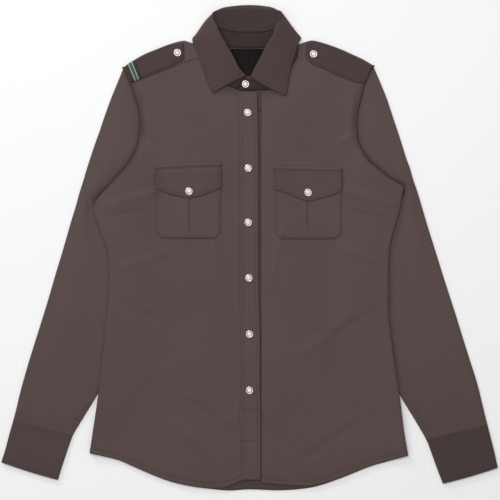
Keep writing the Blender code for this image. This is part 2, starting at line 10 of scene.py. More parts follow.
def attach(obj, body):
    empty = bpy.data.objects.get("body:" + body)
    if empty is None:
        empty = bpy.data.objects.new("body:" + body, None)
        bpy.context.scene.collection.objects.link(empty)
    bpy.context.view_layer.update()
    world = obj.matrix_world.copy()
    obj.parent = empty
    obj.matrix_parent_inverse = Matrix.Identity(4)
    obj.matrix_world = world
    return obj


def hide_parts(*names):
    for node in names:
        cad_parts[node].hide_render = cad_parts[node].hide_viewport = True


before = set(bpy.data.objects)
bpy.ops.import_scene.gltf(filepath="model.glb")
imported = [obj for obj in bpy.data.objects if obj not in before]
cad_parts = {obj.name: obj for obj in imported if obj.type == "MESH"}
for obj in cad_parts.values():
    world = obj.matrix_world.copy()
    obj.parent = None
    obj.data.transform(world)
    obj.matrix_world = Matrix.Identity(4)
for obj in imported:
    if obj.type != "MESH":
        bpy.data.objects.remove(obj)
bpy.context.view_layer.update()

# The back panel. One piece of taupe cotton from the yoke seam to the shirt tail. It lies on the
# surface, and rises at both sides over the sleeves that are tucked under the body.
MM = 0.001
CLOTH = 1.0
PLY_GAP = 0.35
TAUPE = (0.0865, 0.0560, 0.0545)
BODY_RISE = 3.4
RISE_WIDTH = 70.0
RISE_MARGIN = 10.0
YOKE_SEAM_Y = 226.0
ARMHOLE_RIGHT = (
    (-206, 298), (-196, 273), (-188, 250), (-181, 226), (-179, 200), (-182, 176),
    (-190, 153), (-203, 134), (-219, 116), (-236, 97), (-252, 78),
)
ARMHOLE_LEFT = (
    (202, 301), (190, 275), (184, 251), (178, 226), (176, 205), (177, 185),
    (183, 165), (196, 145), (212, 130), (231, 115), (253, 101),
)
SIDE_RIGHT = (
    (-252, 78), (-255, 58), (-247, 34), (-237, 8), (-231, -16), (-230, -55), (-233, -95),
    (-237, -135), (-241, -175), (-245, -215), (-250, -255), (-256, -295), (-262, -335),
)
SIDE_LEFT = (
    (253, 101), (249, 78), (244, 55), (236, 29), (230, 4), (228, -28), (228, -66),
    (228, -107), (233, -150), (239, -195), (246, -242), (253, -298), (260, -339),
)
HEM_BACK = (
    (-261, -334), (-213, -346), (-148, -374), (-108, -386), (-43, -395), (1, -393.5),
    (53, -395), (103, -390), (147, -376), (197, -356), (225, -348), (259, -338),
)
# Inner edge of the tucked sleeves: y, right x, left x
TUCK = (
    (200, 320, 320), (165, 240, 240), (135, 212, 212), (110, 212, 214), (80, 226, 228),
    (45, 236, 234), (12, 224, 221), (-20, 210, 207), (-60, 201, 198), (-108, 200, 197),
    (-156, 210, 207), (-205, 229, 227), (-243, 250, 248), (-275, 272, 270), (-340, 305, 303),
)
TUCK_BLUR = (-24, -12, 0, 12, 24)


class Wire:
    """A shader socket that can be added to and multiplied, and that makes further nodes."""

    def __init__(self, tree, socket=None):
        self.tree = tree
        self.socket = socket

    def node(self, kind, settings, sockets, output):
        made = self.tree.nodes.new(kind)
        for key, value in settings.items():
            if key == "stops":
                ramp = made.color_ramp
                while len(ramp.elements) < len(value):
                    ramp.elements.new(0.5)
                for element, (position, colour) in zip(ramp.elements, value):
                    element.position = position
                    element.color = (*colour, 1.0)
            else:
                setattr(made, key, value)
        for key, value in sockets.items():
            if isinstance(value, Wire):
                self.tree.links.new(value.socket, made.inputs[key])
            else:
                made.inputs[key].default_value = value
        return Wire(self.tree, made.outputs[output])

    def maths(self, operation, first, second):
        return self.node("ShaderNodeMath", {"operation": operation}, {0: first, 1: second}, 0)

    def __add__(self, other):
        return self.maths("ADD", self, other)

    def __radd__(self, other):
        return self.maths("ADD", other, self)

    def __sub__(self, other):
        return self.maths("SUBTRACT", self, other)

    def __rsub__(self, other):
        return self.maths("SUBTRACT", other, self)

    def __mul__(self, other):
        return self.maths("MULTIPLY", self, other)

    def __rmul__(self, other):
        return self.maths("MULTIPLY", other, self)


def cotton(name, colour, turn=0.0, sheen=0.12, rough=0.66):
    """Fine taupe twill: slanted ribs, uneven yarn, soft clouds of colour, a slight sheen. Its colour is
    also scaled by each piece's own attribute, which carries painted shade and painted highlight along
    creases, folds, seams and edges.
    """
    finish = bpy.data.materials.new(name)
    finish.use_nodes = True
    shader = finish.node_tree.nodes["Principled BSDF"]
    wire = Wire(finish.node_tree)
    place = wire.node("ShaderNodeTexCoord", {}, {}, "Object")
    grain = wire.node("ShaderNodeMapping", {}, {"Vector": place, "Rotation": (0, 0, turn)}, "Vector")
    ribs = wire.node("ShaderNodeTexWave", {"bands_direction": "DIAGONAL"},
                     {"Vector": grain, "Scale": 330.0, "Distortion": 1.2, "Detail": 2.0,
                      "Detail Scale": 1.5}, "Fac")
    stretched = wire.node("ShaderNodeMapping", {}, {"Vector": grain, "Scale": (1.0, 0.12, 1.0)},
                          "Vector")
    yarn = wire.node("ShaderNodeTexNoise", {}, {"Vector": stretched, "Scale": 620.0, "Detail": 2.0},
                     "Fac")
    clouds = wire.node("ShaderNodeTexNoise", {}, {"Vector": place, "Scale": 9.0, "Detail": 3.0},
                       "Fac")
    # Painted shade and highlight: the piece's attribute darkens the colour in creases, grooves, seams and
    # along edges and lightens it on ridges; for thread and label it also holds their own darker colour.
    tone = wire.node("ShaderNodeAttribute", {"attribute_name": "tone"}, {}, "Fac")
    weave_and_painted_shading = tone * (0.90 + ribs * 0.06 + yarn * 0.08 + clouds * 0.06)
    shade = wire.node("ShaderNodeVectorMath", {"operation": "SCALE"}, {0: colour, "Scale": weave_and_painted_shading},
                      "Vector")
    finish.node_tree.links.new(shade.socket, shader.inputs["Base Color"])
    gloss = rough + 0.10 * yarn
    finish.node_tree.links.new(gloss.socket, shader.inputs["Roughness"])
    bump = wire.node("ShaderNodeBump", {},
                     {"Height": ribs + yarn, "Strength": 0.35, "Distance": 0.00012}, "Normal")
    finish.node_tree.links.new(bump.socket, shader.inputs["Normal"])
    shader.inputs["Sheen Weight"].default_value = sheen
    shader.inputs["Sheen Roughness"].default_value = 0.45
    shader.inputs["Specular IOR Level"].default_value = 0.30
    return finish


def ease(value):
    """Turn a straight climb from 0 to 1 into a soft one."""
    value = min(1.0, max(0.0, value))
    return value * value * (3.0 - 2.0 * value)


def mix(first, second, share):
    """A point on the way from one to another."""
    return tuple(a + (b - a) * share for a, b in zip(first, second))


def curve_point(before, start, end, after, share):
    """A point on the smooth curve from start to end, with their neighbours' help."""
    return tuple(
        0.5 * (2 * b + (c - a) * share + (2 * a - 5 * b + 4 * c - d) * share ** 2
               + (3 * b - a - 3 * c + d) * share ** 3)
        for a, b, c, d in zip(before, start, end, after)
    )


def smooth_path(*stretches):
    """A line through one or more smooth stretches of points, read by its share of the length."""
    line = []
    for points in stretches:
        points = [mix(points[1], points[0], 2.0), *points, mix(points[-2], points[-1], 2.0)]
        for group in zip(points, points[1:], points[2:], points[3:]):
            line += [curve_point(*group, step / 8) for step in range(8)]
        line.append(tuple(points[-2]))
    lengths = [0.0]
    for first, second in zip(line, line[1:]):
        lengths.append(lengths[-1] + math.dist(first, second))

    def point_at(share):
        target = lengths[-1] * min(1.0, max(0.0, share))
        index = min(bisect_right(lengths, target) - 1, len(line) - 2)
        span = max(1e-9, lengths[index + 1] - lengths[index])
        return mix(line[index], line[index + 1], (target - lengths[index]) / span)

    point_at.length = lengths[-1]
    return point_at


def between_edges(right, left, top, bottom):
    """Fill the space between four edges: a point from its shares across and down."""
    corners = (top(0.0), top(1.0), bottom(0.0), bottom(1.0))

    def point_at(over, down):
        sides = mix(right(down), left(down), over)
        ends = mix(top(over), bottom(over), down)
        inner = mix(mix(corners[0], corners[1], over), mix(corners[2], corners[3], over), down)
        return tuple(a + b - c for a, b, c in zip(sides, ends, inner))

    return point_at


@lru_cache(maxsize=None)
def tuck_edge(y, column):
    """Where the tucked sleeve ends under the body at one height, softened."""
    total = 0.0
    for shift in TUCK_BLUR:
        value = min(TUCK[0][0], max(TUCK[-1][0], y + shift))
        for upper, lower in zip(TUCK, TUCK[1:]):
            if value >= lower[0]:
                share = (upper[0] - value) / (upper[0] - lower[0])
                total += upper[column] + (lower[column] - upper[column]) * share
                break
    return total / len(TUCK_BLUR)


def rise(x, y):
    """Share of the body's rise over a tucked sleeve, from 0 to 1."""
    inner = tuck_edge(round(y), 1 if x < 0 else 2) - RISE_MARGIN
    return ease((abs(x) - inner + RISE_WIDTH) / RISE_WIDTH)


def ripple(x, y, seed):
    """Slight unevenness of cloth that was pressed and laid out, from 0 to 1."""
    wide = noise.noise(Vector((x / 70.0, y / 110.0, seed)))
    fine = noise.noise(Vector((x / 24.0, y / 34.0, seed + 5.0)))
    return 0.5 + 0.36 * wide + 0.14 * fine


def cloth_piece(name, parts, finish, thickness, nodes, merge=0.02):
    """Cloth from grids whose points are sent to their places; each part is steps, place, looks_up."""
    shape = bmesh.new()
    share_layer = shape.loops.layers.uv.new("shares")
    tone_and_shading_layer = shape.verts.layers.float.new("tone")
    upward = []
    for (across, down), place, looks_up in parts:
        made = bmesh.ops.create_grid(shape, x_segments=across, y_segments=down, size=0.5)
        verts = made["verts"]
        for face in {face for vert in verts for face in vert.link_faces}:
            centre = face.calc_center_median()
            if looks_up(centre.x + 0.5, centre.y + 0.5):
                upward.append(face)
            for loop in face.loops:
                loop[share_layer].uv = (loop.vert.co.x + 0.5, loop.vert.co.y + 0.5)
        for vert in verts:
            # The fourth value is kept per point and scales the colour: the cloth's own colour changes
            # together with painted shade and highlight.
            x, y, z, tone = place(vert.co.x + 0.5, vert.co.y + 0.5)
            vert.co = (x * MM, y * MM, z * MM)
            vert[tone_and_shading_layer] = tone
    bmesh.ops.remove_doubles(shape, verts=shape.verts, dist=merge * MM)
    bmesh.ops.recalc_face_normals(shape, faces=shape.faces)
    shape.normal_update()
    way = sum(face.normal.z * face.calc_area() for face in upward if face.is_valid)
    if way < 0.0:
        bmesh.ops.reverse_faces(shape, faces=shape.faces)
    mesh = bpy.data.meshes.new(name)
    shape.to_mesh(mesh)
    shape.free()
    mesh.shade_smooth()
    mesh.materials.append(finish)
    piece = bpy.data.objects.new(name, mesh)
    bpy.context.scene.collection.objects.link(piece)
    if thickness:
        wall = piece.modifiers.new("cloth", "SOLIDIFY")
        wall.thickness = thickness * MM
        wall.offset = -1.0
        wall.use_rim = True
    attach(piece, "root")
    if nodes:
        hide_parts(*nodes)
    return piece


def everywhere(over, down):
    """Every face of a plain sheet looks up."""
    return True


back_outline = between_edges(
    smooth_path(ARMHOLE_RIGHT[3:], SIDE_RIGHT),
    smooth_path(ARMHOLE_LEFT[3:], SIDE_LEFT),
    smooth_path(((-181, YOKE_SEAM_Y - 0.4), (0, YOKE_SEAM_Y - 0.4), (178, YOKE_SEAM_Y - 0.4))),
    smooth_path(HEM_BACK),
)


def back_place(over, down):
    x, y = back_outline(over, down)
    edge = min(over, 1.0 - over) * 470.0
    hem = (1.0 - down) * 600.0
    # Painted shade: darker along the hem's turn and towards both sides, and the whole back is given 0.8 of
    # the cloth's colour.
    tone = 1.0 - 0.10 * math.exp(-((hem - 7.0) / 1.6) ** 2) - 0.05 * math.exp(-edge / 5.0)
    return x, y, BODY_RISE * rise(x, y) + 0.02 + 0.25 * ripple(x, y, 11.0) + 0.75, tone * 0.80


body_cotton = cotton("taupe_body_cotton", TAUPE)
back = cloth_piece("back_panel", [((110, 150), back_place, everywhere)], body_cotton, 0.75, ["back"])

# The two front panels. The wearer's left one ends at the placket, the right one runs on under it.
# They are cut to the neckline, armhole, side seam and curved shirt tail, and lie on the back.
# Crease rows: start x, y, end x, y, half width, height, change of colour, which is painted shade in the
# hollows and painted highlight on the ridges.
RISE_EASE = 0.95
TOP_SPARE = 0.76
FOLDS = (
    (4, -238, 88, -352, 34, 1.5, 0.0),
    (-70, -300, 6, -268, 30, 1.1, 0.0),
    (-176, 258, -168, 165, 24, 1.2, 0.0),
    (172, 258, 166, 165, 24, 1.3, 0.0),
    (-205, -20, -120, -60, 34, 1.1, 0.0),
    (205, -60, 120, -30, 34, 1.1, 0.0),
    (-190, -250, -120, -200, 36, 1.0, 0.0),
    (175, -250, 120, -170, 36, 1.0, 0.0),
)
CREASES = (
    (17, -243, 52, -300, 7, 0.5, 0.04),
    (40, -290, 84, -364, 8, 0.4, 0.04),
    (8, -236, 30, -300, 6, -0.4, -0.05),
    (-15, -266, 17, -268, 5, -0.35, -0.06),
    (-13, -317, 18, -316, 5, -0.35, -0.06),
    (188, 158, 200, 140, 4, -0.5, -0.12),
    (192, 152, 208, 133, 3, 0.4, 0.05),
    (-178, 252, -172, 180, 7, -0.5, -0.10),
    (176, 252, 171, 190, 7, -0.5, -0.10),
    (-236, 70, -150, 96, 12, 0.7, 0.04),
    (-228, 52, -170, 66, 8, -0.5, -0.05),
    (232, 74, 158, 96, 12, 0.7, 0.04),
    (226, 50, 172, 60, 8, -0.5, -0.05),
    (-186, 200, -150, 172, 9, -0.5, -0.05),
    (182, 196, 150, 176, 9, 0.6, 0.04),
    (-210, -30, -140, -8, 11, 0.6, 0.03),
    (-206, -92, -150, -118, 13, -0.5, -0.03),
    (206, -20, 150, 2, 11, 0.6, 0.03),
    (208, -100, 140, -140, 13, -0.5, -0.03),
    (-150, -120, -90, -180, 16, 0.6, 0.03),
    (-120, -290, -44, -352, 14, 0.6, 0.03),
    (-96, -250, -30, -296, 10, -0.5, -0.04),
    (160, -110, 90, -170, 16, 0.6, 0.03),
    (170, -290, 96, -340, 14, -0.6, -0.04),
    (52, 30, 34, -60, 12, 0.5, 0.03),
    (-48, 10, -36, -90, 12, -0.4, -0.03),
)
NECKLINE_RIGHT = ((-67, 296), (-52, 279), (-30, 265), (-10, 259), (11, 258))
NECKLINE_LEFT = ((67, 296), (55, 279), (42, 266), (30, 260), (19.5, 258))
SEAM_RIGHT = ((-196, 273), (-176, 279.5), (-156, 286.5), (-140, 292), (-122, 299),
              (-106, 305), (-94, 308.5), (-77.5, 311.5))
SEAM_LEFT = ((190, 275), (172, 281.5), (153, 288.5), (138, 294), (122, 300),
             (106, 305), (94, 308.5), (77.5, 311.5))
HEM_RIGHT = (
    (-262, -335), (-240, -340), (-213, -347), (-188, -358), (-165, -368), (-140, -378),
    (-112, -386), (-85, -391), (-60, -393), (-38, -391), (-14, -381), (11, -379),
)
HEM_LEFT = (
    (260, -339), (238, -345), (212, -352), (188, -360), (165, -369), (145, -377),
    (124, -384), (103, -389), (82, -389), (60, -388), (38, -386), (19.5, -384),
)
FRONT_CLOTH = 0.7
SEAM_TUCK = 2.6  # mm that each front runs on under the yoke


def crease_sum(rows, x, y):
    """Height that a table's folds add at one point, and their painted shade and highlight."""
    height = 0.0
    tone = 0.0
    for start_x, start_y, end_x, end_y, half_width, rise_by, painted_shading_by in rows:
        reach = half_width + math.hypot(end_x - start_x, end_y - start_y)
        if abs(x - start_x) > reach or abs(y - start_y) > reach:
            continue
        run = math.hypot(end_x - start_x, end_y - start_y)
        along = ((x - start_x) * (end_x - start_x) + (y - start_y) * (end_y - start_y)) / run
        across = abs((x - start_x) * (end_y - start_y) - (y - start_y) * (end_x - start_x)) / run
        beyond = max(0.0, -along, along - run)
        share = ease(1.0 - math.hypot(across, beyond) / half_width)
        height += rise_by * share
        tone += painted_shading_by * share
    return height, tone


def front_face(x, y):
    """Height of the fronts' upper side, and its painted shading: darker in creases, lighter on ridges, and
    mottled like the ripples.
    """
    share = rise(x, y)
    folds, _ = crease_sum(FOLDS, x, y)
    creases, tone = crease_sum(CREASES, x, y)
    height = (BODY_RISE * share + 2 * CLOTH + PLY_GAP + RISE_EASE * min(1.0, 4.0 * share)
              + 0.8 * folds + 1.9 * creases + 1.8 * ripple(x, y, 3.0))
    # Painted shading: the colour follows the ripple of the height, lighter and darker in soft patches.
    tone += 0.24 * (ripple(x, y, 3.0) - 0.5)
    return height, tone


def on_front(x, y):
    """Height at which something that is sewn on a front lies."""
    height, tone = front_face(x, y)
    return height + PLY_GAP + TOP_SPARE * min(1.0, 8.0 * rise(x, y)), tone


def seam_dip(distance, width):
    """How far cloth sinks towards a seam, from 0 to 1."""
    return math.exp(-(distance / width) ** 2)


def make_front(name, armhole, side, seam, neckline, hem, edge_x, node):
    """One front panel from its outline."""
    seam_in = [(x, y + SEAM_TUCK) for x, y in seam]
    top = smooth_path(seam_in, neckline)
    bottom = smooth_path(hem)
    outer = smooth_path((seam_in[0], *armhole[2:]), side)
    start_y = outer(0.0)[1]
    drop = (top(1.0)[1] - bottom(1.0)[1]) / (start_y - outer(1.0)[1])

    def inner(down):
        return edge_x, top(1.0)[1] - (start_y - outer(down)[1]) * drop

    outline = between_edges(outer, inner, top, bottom)
    width = abs(outer(0.6)[0] - edge_x)
    seam_share = smooth_path(seam_in).length / top.length
    armhole_share = smooth_path((seam_in[0], *armhole[2:])).length / outer.length

    def place(over, down):
        x, y = outline(over, down)
        height, tone = front_face(x, y)
        edge = over * width
        # Painted shade: dark bands along the armhole seam and the side edge, a dark line at the hem's
        # stitching, along the yoke seam, and under the collar at the neckline.
        if down < armhole_share:
            dip = seam_dip(edge, 7.0) * ease((armhole_share - down) / 0.05)
            height -= 0.75 * dip
            tone -= 0.26 * dip + 0.10 * seam_dip(edge, 18.0) * dip
        else:
            height -= 0.35 * seam_dip(edge, 3.0)
            tone -= 0.10 * seam_dip(edge, 3.0)
        hem_distance = (1.0 - down) * 640.0
        height += 0.22 * seam_dip(hem_distance - 3.0, 3.2) - 0.18 * seam_dip(hem_distance - 8.0, 1.6)
        tone -= 0.13 * seam_dip(hem_distance - 8.0, 1.8)
        top_distance = down * 640.0
        if over < seam_share:
            height -= 0.62 * ease((5.5 - top_distance) / 3.0)
            tone -= 0.12 * seam_dip(top_distance - 3.5, 2.5)
        else:
            tone -= 0.25 * seam_dip(top_distance, 12.0)
        return x, y, height, 1.0 + tone

    piece = cloth_piece(name, [((92, 236), place, everywhere)], body_cotton, FRONT_CLOTH, [node])
    return piece


front_right = make_front("front_panel_right", ARMHOLE_RIGHT, SIDE_RIGHT, SEAM_RIGHT, NECKLINE_RIGHT,
                         HEM_RIGHT, 11.0, "front_right")
front_left = make_front("front_panel_left", ARMHOLE_LEFT, SIDE_LEFT, SEAM_LEFT, NECKLINE_LEFT,
                        HEM_LEFT, 19.5, "front_left")

# The yoke. One piece of the same cotton across the back of the shoulders. It turns over both
# shoulders and is sewn to the fronts a little way down, so a strip of it shows in front.
YOKE_HEIGHT = 2.8
YOKE_FOOT_X = 62.0
YOKE_ROLL = 3.2
FOLD_RIGHT = ((-206, 298), (-193, 307), (-172, 319), (-150, 328), (-126, 337), (-108, 341),
              (-97, 338), (-80, 334.5))
FOLD_LEFT = ((202, 301), (187, 310), (170, 318), (150, 327), (128, 335), (106, 341),
             (95, 340), (80, 334.5))
BACK_NECK = ((-80, 334.5), (-72, 335.5), (-46, 334), (-23, 332.5), (0, 331.5), (23, 332.5), (46, 334),
             (72, 335.5), (80, 334.5))


def rounded(distance, radius):
    """A quarter round: 0 at an edge, 1 where the flat begins."""
    share = 1.0 - min(1.0, max(0.0, distance / radius))
    return math.sqrt(1.0 - share * share)


def shoulder_parts(fold, seam, armhole, side):
    """The lower and upper side of the yoke at one shoulder."""
    under = between_edges(
        smooth_path(armhole[3::-1]),
        smooth_path(((side * YOKE_FOOT_X, YOKE_SEAM_Y), (side * 70, 290), (side * 80, 334.5))),
        smooth_path(((armhole[3][0], YOKE_SEAM_Y), (side * YOKE_FOOT_X, YOKE_SEAM_Y))),
        smooth_path(fold),
    )
    over_part = between_edges(
        smooth_path((armhole[0], armhole[1])),
        smooth_path((fold[-1], seam[-1])),
        smooth_path(fold),
        smooth_path(seam),
    )

    def under_place(over, down):
        x, y = under(over, down)
        away = (1.0 - down) * 90.0
        half = YOKE_HEIGHT / 2
        # The underside is given 0.9 of the cloth's colour: painted shade.
        return x, y, half - half * rounded(away, YOKE_ROLL) + 0.02, 0.9

    def over_place(over, down):
        x, y = over_part(over, down)
        away = down * 32.0
        half = YOKE_HEIGHT / 2
        to_seam = (1.0 - down) * 32.0
        height = half + 0.02 + half * rounded(away, YOKE_ROLL)
        height += 0.15 * ripple(x, y, 4.0) * rounded(away, YOKE_ROLL)
        # Painted shade at the yoke seam and along the rolled edge.
        tone = 1.0 - 0.14 * seam_dip(to_seam - 2.0, 1.2) - 0.10 * seam_dip(away, 3.0)
        return x, y, height, tone

    return [((40, 34), under_place, lambda over, down: False),
            ((40, 16), over_place, everywhere)]


yoke_neck = between_edges(
    smooth_path(((-YOKE_FOOT_X, YOKE_SEAM_Y), (-70, 290), (-80, 334.5))),
    smooth_path(((YOKE_FOOT_X, YOKE_SEAM_Y), (70, 290), (80, 334.5))),
    smooth_path(((-YOKE_FOOT_X, YOKE_SEAM_Y), (YOKE_FOOT_X, YOKE_SEAM_Y))),
    smooth_path(BACK_NECK),
)


def yoke_neck_place(over, down):
    x, y = yoke_neck(over, down)
    to_side = min(over, 1.0 - over) * 150.0
    lift = YOKE_HEIGHT / 2 * (1.0 - rounded((1.0 - down) * 90.0, YOKE_ROLL)) * (1.0 - ease(to_side / 12.0))
    # The part in the neck opening is given 0.75 of the cloth's colour: painted shade of the hollow.
    return x, y, 0.02 + lift, 0.75


yoke = cloth_piece(
    "yoke_panel",
    shoulder_parts(FOLD_RIGHT, SEAM_RIGHT, ARMHOLE_RIGHT, -1)
    + shoulder_parts(FOLD_LEFT, SEAM_LEFT, ARMHOLE_LEFT, 1)
    + [((40, 34), yoke_neck_place, lambda over, down: False)],
    body_cotton, 0.8, ["yoke"], merge=0.3,
)

# The placket. A strip of the same cotton, folded and stitched down both long edges, that carries
# the front snaps. It is the wearer's left front's edge and lies over the right front.
PLACKET = (
    (257.6, -18, 12.5), (235, -17.5, 13), (206, -17, 13.5), (170, -16.5, 14), (121, -16, 14),
    (80, -16, 14), (40, -16, 14), (0, -16, 14), (-40, -16, 14.5), (-81, -16, 15),
    (-107, -15.5, 16), (-133, -15, 17), (-160, -14.5, 17), (-186, -14, 17), (-210, -13.5, 17),
    (-230, -13, 17), (-250, -15, 18), (-265, -17, 18.5), (-285, -16, 18.5), (-310, -14, 18.5),
    (-340, -13.5, 18.5), (-362, -13, 18.5), (-379, -13, 18.5),
)
PLACKET_CLOTH = 0.9
placket_free = smooth_path([(free, y) for y, free, seam in PLACKET])
placket_seam = smooth_path([(seam, y) for y, free, seam in PLACKET])


def placket_place(over, down):
    x, y = mix(placket_free(down), placket_seam(down), over)
    height, tone = on_front(x, y)
    edge = min(over, 1.0 - over) * 31.0
    height += PLACKET_CLOTH - 0.30 * seam_dip(edge, 1.2) - 0.16 * seam_dip(edge - 5.0, 0.9)
    # Painted shade along both edges and both stitch lines.
    tone -= 0.10 * seam_dip(edge - 5.0, 1.1) + 0.16 * seam_dip(edge, 1.0)
    return x, y, height, 1.0 + tone


placket = cloth_piece("placket_strip", [((30, 260), placket_place, everywhere)], body_cotton, 0.8,
                      ["placket"])

# The two sleeves. Each is one panel of the cotton sewn into a tube, set into the armhole. Pressed
# flat, they run from the shoulder down beside the body, partly under it, to the cuffs.
# Rows across a sleeve: outer x, y, inner x, y, share of the width that is lofted.
SLEEVE_HEIGHT = 2.8
SLEEVE_LOFT = 2.0
SLEEVE_ROLL = 4.0
SLEEVE_TUCK = 5.0
SLEEVE_RIGHT = (
    (-207.5, 294, -200.5, 284.3, 1.0), (-212, 283, -196, 273, 1.0), (-221, 261, -188, 250, 1.0),
    (-229, 241, -181, 226, 1.0), (-238, 216, -179, 200, 1.0), (-246, 192, -182, 176, 1.0),
    (-254, 170, -190, 153, 1.0), (-261, 149, -203, 134, 1.0), (-267, 130, -219, 116, 1.0),
    (-273, 110, -236, 97, 1.0), (-279, 91, -252, 78, 1.0), (-285, 69, -245, 54, 0.65),
    (-293, 43, -234, 30, 0.65), (-303, 8, -219, -3, 0.65), (-311, -19, -208, -38, 0.65),
    (-318, -42, -203, -64, 0.60), (-332, -90, -202, -112, 0.60), (-347, -138, -212, -156, 0.65),
    (-362, -186, -230, -202, 0.75), (-375, -232, -251, -242, 1.0), (-381, -257, -271, -275, 1.0),
    (-387, -281, -290, -306, 1.0),
)
SLEEVE_LEFT = (
    (203.5, 297.5, 196, 288, 1.0), (209, 285, 190, 275, 1.0), (217, 266, 184, 251, 1.0),
    (225, 246, 178, 226, 1.0), (232, 225, 176, 205, 1.0), (239, 204, 177, 185, 1.0),
    (246, 183, 183, 165, 1.0), (252, 164, 196, 145, 1.0), (257, 148, 212, 130, 1.0),
    (263, 132, 231, 115, 1.0), (268, 114, 253, 101, 1.0), (275, 94, 248, 80, 0.90),
    (283, 67, 238, 55, 0.75), (291, 40, 224, 25, 0.70), (301, 8, 211, -7, 0.65),
    (311, -24, 204, -42, 0.65), (321, -56, 200.6, -78, 0.65), (337, -105, 203, -122, 0.65),
    (349, -144, 211, -160, 0.70), (361, -182, 226, -198, 0.75), (373, -220, 247, -241, 1.0),
    (382, -256, 268, -276, 1.0), (390, -289, 290, -313, 1.0),
)
# Crease rows of the sleeves: start x, y, end x, y, half width, height, change of colour, which is painted
# shade in the hollows and painted highlight on the ridges
SLEEVE_CREASES = (
    (-262, -255, -283, -280, 5, -0.5, -0.12),
    (-283, -280, -290, -296, 4, -0.4, -0.10),
    (-282, 60, -262, -60, 12, 0.5, 0.02),
    (-300, -90, -330, -180, 16, 0.6, 0.02),
    (-345, -190, -372, -262, 12, 0.5, 0.02),
    (-270, 100, -262, 60, 7, -0.5, -0.05),
    (284, 50, 268, -50, 12, 0.5, 0.02),
    (304, -90, 336, -180, 16, 0.6, 0.02),
    (350, -190, 378, -268, 12, 0.5, 0.02),
    (272, -262, 288, -300, 5, -0.4, -0.08),
)


def section(rows, position):
    """A smooth in-between row of a table."""
    index = min(int(position), len(rows) - 2)
    before = rows[index - 1] if index else mix(rows[1], rows[0], 2.0)
    after = rows[index + 2] if index + 2 < len(rows) else mix(rows[-2], rows[-1], 2.0)
    return curve_point(before, rows[index], rows[index + 1], after, position - index)


def around(share):
    """Side and share across a flat tube from the share of the way round it."""
    top = share <= 0.5
    way = share * 2.0 if top else 2.0 - share * 2.0
    return top, 0.5 * way + 0.25 * (1.0 - math.cos(math.pi * way))


def make_sleeve(name, sections, side, node, finish):
    """One sleeve as a flat tube from its rows."""
    last = len(sections) - 1
    armhole_rows = 10.0

    def place(over, down):
        top, across = around(over)
        position = down * last
        outer_x, outer_y, inner_x, inner_y, lofted = section(sections, position)
        inner_x += side * 0.25
        past = ease((down - 0.972) / 0.028)
        if down > 0.99:
            reach = (down - 0.99) / 0.01 * SLEEVE_TUCK
            outer_x += side * 0.30 * reach
            inner_x += side * 0.36 * reach
            outer_y -= reach
            inner_y -= reach
        width = math.hypot(outer_x - inner_x, outer_y - inner_y)
        x, y = mix((outer_x, outer_y), (inner_x, inner_y), across)
        edge = min(across, 1.0 - across) * width
        roll = rounded(edge, min(SLEEVE_ROLL, width * 0.3))
        half = SLEEVE_HEIGHT / 2
        tone = 0.0
        if top:
            loft = SLEEVE_LOFT * math.sin(math.pi * down)
            loft *= math.sin(math.pi * min(1.0, across / max(0.3, lofted))) ** 2
            folds, tone = crease_sum(SLEEVE_CREASES, x, y)
            loose = 1.0 if lofted > 0.97 else ease((lofted - across) / 0.15)
            height = half + roll * half + roll * (loft + folds * loose) + 0.4 * roll * loose * (
                ripple(x, y, 8.0))
            if position < armhole_rows + 1.0:
                near = (1.0 - across) * width
                dip = seam_dip(near, 6.0) * ease(armhole_rows + 1.0 - position)
                height -= 0.5 * dip * roll
                # Painted shade: a dark band along the armhole seam, and a dark line along the sleeve's
                # lower edge.
                tone -= 0.24 * dip + 0.06 * seam_dip(near, 16.0)
            tone -= 0.10 * seam_dip(across * width, 3.0)
            height = height * (1.0 - 0.28 * past) + 0.2 * past
        else:
            height = half - roll * half + 0.02
            height = height * (1.0 - past) + past * (0.95 + height * 0.4)
        # The colour grows darker towards the cuff.
        tone -= 0.10 * ease((down - 0.7) / 0.3)
        return x, y, height, 1.03 + tone

    steps = (112, 216)
    piece = cloth_piece(name, [(steps, place, lambda over, down: over < 0.5)], finish, 0.7, [node])
    return piece


sleeve_cotton = {
    -1: cotton("taupe_sleeve_cotton_right", TAUPE, turn=math.radians(17)),
    1: cotton("taupe_sleeve_cotton_left", TAUPE, turn=math.radians(-17)),
}
sleeve_right = make_sleeve("sleeve_tube_right", SLEEVE_RIGHT, -1, "sleeve_right", sleeve_cotton[-1])
sleeve_left = make_sleeve("sleeve_tube_left", SLEEVE_LEFT, 1, "sleeve_left", sleeve_cotton[1])

# The armhole seams. The panels' trimmed edges are turned in together along each armhole, and fill the
# narrow gap between the body and the sleeve. They are given 0.55 of the cloth's colour: painted shade of
# the gap.
for seam_name, armhole, side_line in (
    ("right", ARMHOLE_RIGHT, SIDE_RIGHT), ("left", ARMHOLE_LEFT, SIDE_LEFT),
):
    armhole_line = smooth_path(armhole, side_line[:4])
    seam_shift = -0.3 if seam_name == "right" else 0.3

    def turned_edge_place(over, down):
        x, y = armhole_line(down)
        angle = over * math.tau
        reach = 1.3 + 3.2 * seam_dip(math.dist((x, y), armhole[-1]), 22.0)
        reach += 2.0 * seam_dip(math.dist((x, y), armhole[0]), 7.0)
        return (x + seam_shift + reach * math.cos(angle), y, 0.95 + 0.55 * math.sin(angle), 0.55)

    seam_edge_painted_shade = cloth_piece("armhole_seam_" + seam_name,
                            [((8, 140), turned_edge_place, lambda over, down: over < 0.5)],
                            body_cotton, 0.0, [])

